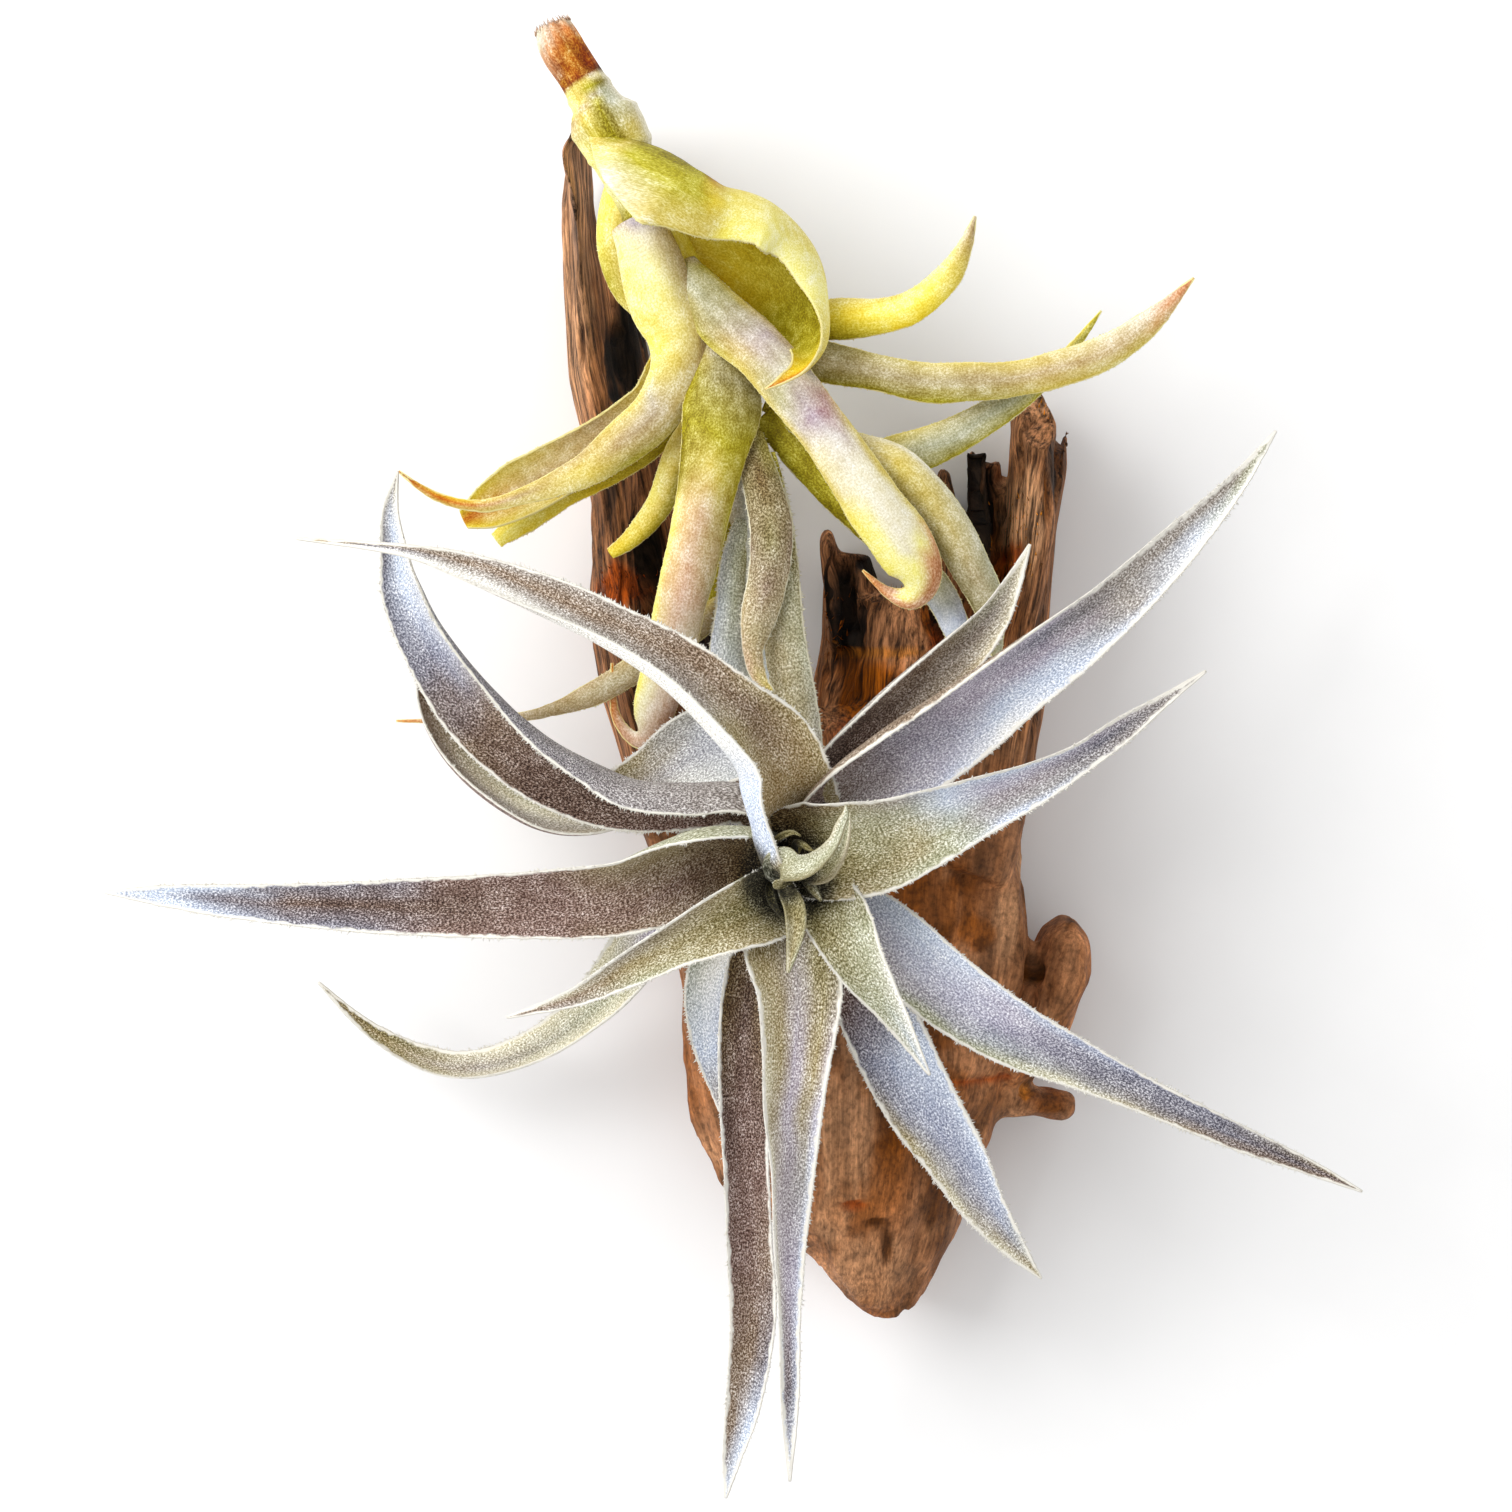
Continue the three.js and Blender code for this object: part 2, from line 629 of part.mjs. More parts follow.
// Driftwood limbs: x, y and height of the middle line, half width and half height
const LIMBS = {
  body: [
    [17.5, -77, 14, 4, 8],
    [16, -73.5, 14.5, 8, 12],
    [15, -67.5, 15, 12, 15],
    [13.5, -60, 15.5, 16.5, 16],
    [11, -52, 16, 24, 18],
    [10.5, -42.5, 16, 27, 19],
    [9.5, -31, 16, 29, 18],
    [10, -21, 16, 30.5, 18],
    [8.5, -10.5, 16, 31.5, 18],
    [7, 0, 16, 32, 18],
    [6, 10.5, 16, 29.5, 21],
    [6.5, 19, 15, 22.5, 21],
    [7, 25, 14, 15.5, 15],
  ],
  leftProng: [
    [-34, 127.5, 25, 1, 16],
    [-37, 124, 24, 1.5, 16.5],
    [-37.5, 119.5, 21, 2, 16],
    [-37.5, 112.5, 17, 3, 15],
    [-37, 104, 16, 3.5, 14],
    [-36, 94.5, 15, 4, 14],
    [-35, 84, 15, 4.5, 14],
    [-32.5, 73, 15, 4.5, 14],
    [-31.5, 62.5, 14, 4.5, 14],
    [-31, 50.5, 14, 5, 14],
    [-30.5, 40, 14, 5.5, 14],
    [-28, 29.5, 14, 6.5, 14],
    [-25, 19, 14, 6.5, 14],
    [-21.5, 8.5, 14, 7.5, 15],
    [-16.5, -3.5, 15, 8.5, 16],
  ],
  leftProngFlank: [
    [-32.5, 103, 8, 2.5, 8],
    [-30, 95.5, 8, 4, 9],
    [-28.5, 85, 8, 4, 9],
    [-27, 72.5, 8, 4, 9],
    [-24.5, 59.5, 8, 5, 9],
    [-21.5, 45.5, 8, 6.5, 10],
    [-19.5, 34, 8, 6.5, 10],
    [-17.5, 21, 9, 7, 11],
    [-13.5, 8.5, 10, 8, 12],
  ],
  slab: [
    [16, 46, 15, 6, 14],
    [16.5, 42.5, 15, 7.5, 16],
    [17, 36.5, 15, 9, 17],
    [17.5, 27.5, 15, 10, 18],
    [18.5, 19, 15, 12.5, 18],
    [19, 8.5, 15, 15.5, 18],
  ],
  slabBack: [
    [9, 53.5, 9, 4.5, 7],
    [9.5, 49, 9, 5.5, 9],
    [9, 38.5, 9, 5, 9],
    [8, 28, 9, 5.5, 9],
    [9, 15.5, 9, 7, 10],
  ],
  spike: [
    [5.5, 57.5, 12, 0.5, 5],
    [5.5, 55, 12, 1.5, 9],
    [6, 47, 11, 1.5, 10],
    [6.5, 36.5, 10, 2, 10],
  ],
  slitSide: [
    [26, 68.5, 8, 1, 5],
    [26, 63, 8, 2, 7],
    [26.5, 52.5, 8, 3, 8],
    [26.5, 36.5, 8, 4.5, 9],
    [27, 17.5, 9, 6, 10],
  ],
  rightProng: [
    [40, 79, 23, 3, 11],
    [40.5, 76.5, 20, 4, 15],
    [41, 68, 18, 4, 17],
    [41, 58, 17, 4.5, 18],
    [40, 46.5, 17, 4.5, 18],
    [38, 34.5, 16, 6, 18],
    [35, 22.5, 16, 7.5, 18],
    [32, 10.5, 16, 8, 18],
    [27.5, -1.5, 16, 10.5, 18],
  ],
  rightRidge: [
    [47, 73.5, 16, 0.5, 8],
    [46, 67.5, 14, 1.5, 11],
    [44, 57, 14, 1.5, 12],
    [43, 45, 14, 1.5, 12],
    [41.5, 31, 14, 1.5, 12],
    [39.5, 19, 14, 2, 12],
    [37, 5, 13, 2.5, 12],
  ],
  plank: [
    [31, 71.5, 12, 1, 8],
    [31, 62.5, 12, 1, 10],
    [31.5, 52, 12, 1.5, 11],
    [32, 41.5, 12, 2, 12],
    [33, 27.5, 13, 3.5, 13],
  ],
  slotFloor: [
    [34, 70, 5, 2, 5],
    [34.5, 56, 5, 2.5, 6],
    [35, 42, 6, 3, 7],
    [34.5, 28, 7, 4, 9],
  ],
  bigKnob: [
    [47, -10, 15, 1.5, 5],
    [46.5, -13, 15, 4, 10],
    [46, -19, 14, 5.5, 13],
    [44, -26, 13, 4.5, 12],
    [40, -31.5, 13, 5.5, 13],
    [33.5, -35, 14, 7, 14],
  ],
  smallKnob: [
    [48.5, -43, 11, 1.5, 5],
    [47, -43, 11, 2.5, 7],
    [42.5, -42.5, 11, 2.5, 8],
    [35.5, -41.5, 11, 4, 9],
  ],
};

// A smooth row at a place u along a list of rows, through every row
function rowAt(rows, u) {
  const last = rows.length - 1;
  const i = Math.min(Math.floor(u), last - 1);
  const t = u - i;
  const before = rows[Math.max(i - 1, 0)];
  const from = rows[i];
  const to = rows[i + 1];
  const after = rows[Math.min(i + 2, last)];
  return from.map((value, k) => {
    const a = 2 * value;
    const b = to[k] - before[k];
    const c = 2 * before[k] - 5 * value + 4 * to[k] - after[k];
    const d = 3 * value - before[k] - 3 * to[k] + after[k];
    return (a + b * t + c * t * t + d * t * t * t) / 2;
  });
}

function resample(rows, perRow) {
  const count = Math.round((rows.length - 1) * perRow);
  const samples = [];
  for (let i = 0; i <= count; i += 1) {
    samples.push(rowAt(rows, (i / count) * (rows.length - 1)));
  }
  return samples;
}

// The same stations with both ends moved outwards
function stretched(samples, grow) {
  const moved = samples.map((row) => [...row]);
  const last = samples.length - 1;
  for (const [i, distance] of [[0, -grow], [last, grow]]) {
    const { along } = frameAt(samples, i);
    along.toArray().forEach((value, k) => {
      moved[i][k] += distance * value;
    });
  }
  return moved;
}

// The direction along a line of stations, its right hand side and its upper side
function frameAt(samples, i) {
  const from = new THREE.Vector3(...samples[Math.max(i - 1, 0)]);
  const to = new THREE.Vector3(...samples[Math.min(i + 1, samples.length - 1)]);
  const along = to.sub(from).normalize();
  const up = new THREE.Vector3(0, 0, 1).addScaledVector(along, -along.z).normalize();
  const side = new THREE.Vector3().crossVectors(along, up);
  return { along, up, side };
}

// How far a channel of unit radius reaches to its left and right, seen from above
function reach(roll, cup) {
  const bend = Math.sign(cup);
  let low = Infinity;
  let high = -Infinity;
  for (let i = 0; i <= REACH_STEPS; i += 1) {
    const a = Math.abs(cup) * ((2 * i) / REACH_STEPS - 1);
    const across = Math.sin(a) * Math.cos(roll) + bend * (1 - Math.cos(a)) * Math.sin(roll);
    low = Math.min(low, across);
    high = Math.max(high, across);
  }
  return { low, high };
}

// One ring of a leaf: its face from left to right, then its back from right to left
function leafRing(samples, i, grow) {
  const [x, y, z, width, rollDegrees, cupDegrees] = samples[i];
  const roll = THREE.MathUtils.degToRad(rollDegrees);
  const bend = cupDegrees < 0 ? -1 : 1;
  const cup = THREE.MathUtils.degToRad(Math.max(Math.abs(cupDegrees), FLATTEST_CHANNEL));
  const { up, side } = frameAt(samples, i);
  const { low, high } = reach(roll, bend * cup);
  const radius = Math.max(width - EDGE_THICKNESS / 2, EDGE_THICKNESS) / (high - low);
  const centre = new THREE.Vector3(x, y, z).addScaledVector(side, (-radius * (low + high)) / 2);
  const across = side.clone().multiplyScalar(Math.cos(roll)).addScaledVector(up, -Math.sin(roll));
  const facing = up.clone().multiplyScalar(Math.cos(roll)).addScaledVector(side, Math.sin(roll));
  const rib = THREE.MathUtils.clamp(width * RIB_THICKNESS_OF_WIDTH, RIB_THICKNESS_MIN, RIB_THICKNESS_MAX);
  const face = [];
  const back = [];
  for (let k = 0; k < POINTS_ACROSS_LEAF; k += 1) {
    const s = (2 * k) / (POINTS_ACROSS_LEAF - 1) - 1;
    const a = cup * s * (1 + grow / Math.max(cup * radius, 1));
    const normal = facing.clone().multiplyScalar(Math.cos(a)).addScaledVector(across, -bend * Math.sin(a));
    const middle = centre
      .clone()
      .addScaledVector(across, radius * Math.sin(a))
      .addScaledVector(facing, bend * radius * (1 - Math.cos(a)));
    const half = (EDGE_THICKNESS + (rib - EDGE_THICKNESS) * (1 - s * s)) / 2 + grow;
    face.push(middle.clone().addScaledVector(normal, half));
    back.push(middle.clone().addScaledVector(normal, -half));
  }
  return [...face, ...back.reverse()];
}

// A round ring across a stem or limb, rippled by waves
function roundRing(samples, i, sides, grow, waves) {
  const [x, y, z, halfWidth, halfHeight = halfWidth] = samples[i];
  const { up, side } = frameAt(samples, i);
  const ring = [];
  for (let k = 0; k < sides; k += 1) {
    const angle = (-2 * Math.PI * k) / sides;
    const wave = waves.reduce((sum, w) => sum + w.depth * Math.sin(w.count * angle + w.turn * i), 1);
    ring.push(
      new THREE.Vector3(x, y, z)
        .addScaledVector(side, (halfWidth * wave + grow) * Math.cos(angle))
        .addScaledVector(up, (halfHeight * wave + grow) * Math.sin(angle)),
    );
  }
  return ring;
}

// A closed geometry through rings of equal length, its ends closed by strips across them
function loft(rings) {
  const count = rings[0].length;
  const positions = rings.flat().flatMap((p) => [p.x, p.y, p.z]);
  const index = [];
  for (let i = 0; i + 1 < rings.length; i += 1) {
    for (let k = 0; k < count; k += 1) {
      const a = i * count + k;
      const b = i * count + ((k + 1) % count);
      index.push(a, b, b + count, a, b + count, a + count);
    }
  }
  const lastRing = (rings.length - 1) * count;
  for (let k = 0; k + 1 < count / 2; k += 1) {
    const [a, b, c, d] = [k, k + 1, count - 2 - k, count - 1 - k];
    index.push(a, c, b, a, d, c);
    index.push(lastRing + a, lastRing + b, lastRing + c, lastRing + a, lastRing + c, lastRing + d);
  }
  const geometry = new THREE.BufferGeometry();
  geometry.setAttribute('position', new THREE.Float32BufferAttribute(positions, 3));
  geometry.setIndex(index);
  return geometry;
}

function solidOf(source) {
  const bare = source.clone();
  bare.deleteAttribute('normal');
  bare.deleteAttribute('uv');
  const geometry = mergeVertices(bare);
  const mesh = new wasm.Mesh({
    numProp: 3,
    vertProperties: new Float32Array(geometry.attributes.position.array),
    triVerts: new Uint32Array(geometry.index.array),
  });
  return new wasm.Manifold(mesh);
}

function geometryOf(solid) {
  const mesh = solid.getMesh();
  const geometry = new THREE.BufferGeometry();
  geometry.setAttribute('position', new THREE.Float32BufferAttribute(mesh.vertProperties, 3));
  geometry.setIndex(new THREE.BufferAttribute(new Uint32Array(mesh.triVerts), 1));
  geometry.computeVertexNormals();
  return geometry;
}

function largestPiece(solid) {
  return solid.decompose().reduce((best, piece) => (piece.volume() > best.volume() ? piece : best));
}

function leafSolid(rows, grow = 0) {
  const samples = stretched(resample(rows, STATIONS_PER_ROW), grow);
  return solidOf(loft(samples.map((_, i) => leafRing(samples, i, grow))));
}

function stemSolid(grow = 0) {
  const samples = stretched(STEM, grow);
  return solidOf(loft(samples.map((_, i) => roundRing(samples, i, STEM_SIDES, grow, []))));
}

// The young leaves joined on one bud
function heartSolid(grow = 0) {
  const bud = new THREE.SphereGeometry(BUD_RADIUS + grow, BUD_SIDES, BUD_TIERS);
  bud.rotateX(Math.PI / 2);
  bud.scale(1, 1, BUD_HALF_HEIGHT / BUD_RADIUS);
  bud.translate(...BUD_CENTRE);
  return Object.values(HEART_LEAVES).reduce((heart, rows) => heart.add(leafSolid(rows, grow)), solidOf(bud));
}

function limbSolid(rows, grow) {
  const samples = stretched(rows, grow);
  return solidOf(loft(samples.map((_, i) => roundRing(samples, i, LIMB_SIDES, grow, LIMB_WAVES))));
}

// The driftwood is cut off flat underneath, where it rests
function driftwoodSolid(grow = 0) {
  const below = new THREE.BoxGeometry(WOOD_BELOW_REST, WOOD_BELOW_REST, WOOD_BELOW_REST);
  below.translate(0, 0, -WOOD_BELOW_REST / 2);
  const limbs = Object.values(LIMBS).map((rows) => limbSolid(rows, grow));
  return limbs.reduce((wood, limb) => wood.add(limb)).subtract(solidOf(below));
}

function meshOf(name, look, solid) {
  const mesh = new THREE.Mesh(geometryOf(solid), new THREE.MeshStandardMaterial(LOOKS[look]));
  mesh.name = name;
  return mesh;
}

function meet(a, b) {
  const boxA = a.boundingBox();
  const boxB = b.boundingBox();
  const apart = [0, 1, 2].some((k) => boxA.min[k] > boxB.max[k] || boxB.min[k] > boxA.max[k]);
  return !apart && !a.intersect(b).isEmpty();
}

const group = new THREE.Group();
const grownStem = stemSolid(CLEARANCE);
group.add(meshOf('stem', 'stem', stemSolid()));
group.add(meshOf('heart_leaves', 'heart', largestPiece(heartSolid().subtract(grownStem))));
group.add(meshOf('driftwood', 'wood', largestPiece(driftwoodSolid().subtract(grownStem))));

// Each leaf gives way to the stem, the heart, the driftwood and the leaves that lie over it, listed before it
const before = [grownStem, heartSolid(CLEARANCE), driftwoodSolid(CLEARANCE)];
for (const { name, look, rows } of LEAVES) {
  const whole = leafSolid(rows);
  const solid = before.reduce((rest, other) => (meet(rest, other) ? rest.subtract(other) : rest), whole);
  before.push(leafSolid(rows, CLEARANCE));
  group.add(meshOf(name, look, largestPiece(solid)));
}

export default group;
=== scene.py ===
import bpy
import numpy as np
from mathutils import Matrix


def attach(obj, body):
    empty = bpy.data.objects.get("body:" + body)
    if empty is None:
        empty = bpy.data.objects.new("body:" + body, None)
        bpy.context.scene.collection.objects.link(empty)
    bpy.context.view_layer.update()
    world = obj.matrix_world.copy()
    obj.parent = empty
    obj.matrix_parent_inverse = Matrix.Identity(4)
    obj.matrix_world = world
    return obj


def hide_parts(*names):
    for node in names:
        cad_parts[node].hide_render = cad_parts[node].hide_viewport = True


# Looks of Tillandsia edithae, an air plant with a long leafy stem, lying on a forked piece of driftwood.
# Tables are in millimetres and degrees. +Z is up and +Y runs from the rosette to the cut end of the stem.

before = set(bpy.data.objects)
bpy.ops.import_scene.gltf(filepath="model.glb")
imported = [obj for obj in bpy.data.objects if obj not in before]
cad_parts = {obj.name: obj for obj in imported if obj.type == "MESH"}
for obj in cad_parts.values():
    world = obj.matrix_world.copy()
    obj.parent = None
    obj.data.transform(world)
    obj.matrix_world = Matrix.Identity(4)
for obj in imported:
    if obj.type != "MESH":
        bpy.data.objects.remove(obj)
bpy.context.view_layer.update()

MM = 0.001

# Blade of a leaf
EDGE_THICKNESS = 0.3
RIB_THICKNESS_OF_WIDTH = 0.16
RIB_THICKNESS_MIN = 0.7
RIB_THICKNESS_MAX = 1.7
RIB_OF_NARROW, EDGE_OF_NARROW = 0.6, 0.5
NARROWEST_TIP = 0.25
FLATTEST_CUP = 8
REACH_STEPS = 25
STATION_SPACING = 0.42
SHARES_ACROSS = (-1, -0.965, -0.9, -0.78, -0.6, -0.4, -0.2, 0, 0.2, 0.4, 0.6, 0.78, 0.9, 0.965, 1)

# Unevenness of a leaf: its depth, and the length or width of one wave
RAGGED, RAG_LENGTH = 0.14, 0.6
OLD_LUMPS, YOUNG_LUMPS, LUMP_LENGTH = 0.28, 0.04, 4.5
RIPPLE_OF_WIDTH, RIPPLE_LENGTH, WIDEST_RIPPLED = 0.035, 9, 8
GROOVE_DEPTH, GROOVE_WIDTH, GROOVE_LENGTH = 0.06, 0.7, 14
COLOUR_WANDER, WANDER_SHARE, WANDER_LENGTH = 0.12, 2.5, 6
WANDER_ALONG = 0.2

# Scales that fringe a leaf: spacing and length, then lean, rise and half width of their feet
FRINGE_SPACING, HEART_FRINGE_SPACING = 0.17, 0.5
FRINGE_SHORTEST, FRINGE_LONGEST, OLD_FRINGE_LONGEST, HEART_FRINGE_LONGEST = 0.15, 0.75, 0.35, 0.3
FRINGE_LEAN, FRINGE_RISE, FRINGE_FOOT = (-0.4, 0.9), (-0.5, 0.7), (0.1, 0.24)
FRINGE_WIDTH_WHOLE = 4

# Painted shade deep in the heart: middle, radii and heights where the shade ends and is whole, and its
# strength
HEART_AT = (-2, -1)
HOLLOW_RADII = (9, 6)
HOLLOW_HEIGHTS = (71.5, 68)
HOLLOW_PAINTED_SHADE = 0.85

# Distance to a margin that takes no lace at all, shares of a leaf between which the lace sets in, and what
# keeps the lace of the heart narrow
DEEP = 9
BARE_ROOT = (0.03, 0.08)
HEART_EDGE = 0.35

# Columns of colour across a leaf, seeds, and shifts that give each leaf and its back a pattern of their own
COLUMNS = 5
LEAF_SEED, HEART_SEED, SEED_STEP = 100, 60, 10
BACK_SHIFT, SEED_SHIFT = 40, 7

# Stem and bud: sides and spacing of stations, then where the cut end stops, scars and old collar of the stem
STEM_SIDES, STEM_SPACING, STEM_INSET = 40, 0.5, 0.25
BUD_SIDES, BUD_SPACING = 28, 0.6
CUT_END = (9, 13)
SCAR_TURN, SCAR_DEPTH = 1.15, 0.28
COLLAR_HEIGHT, COLLAR_RIM, COLLAR_FADE = 0.6, (15.6, 16.4), (17, 26)
CUT_FIBRE_LENGTH, CUT_FIBRE_HALF_WIDTH, CUT_FIBRE_JITTER = (0.3, 1.1), 0.13, (0.15, 0.12)
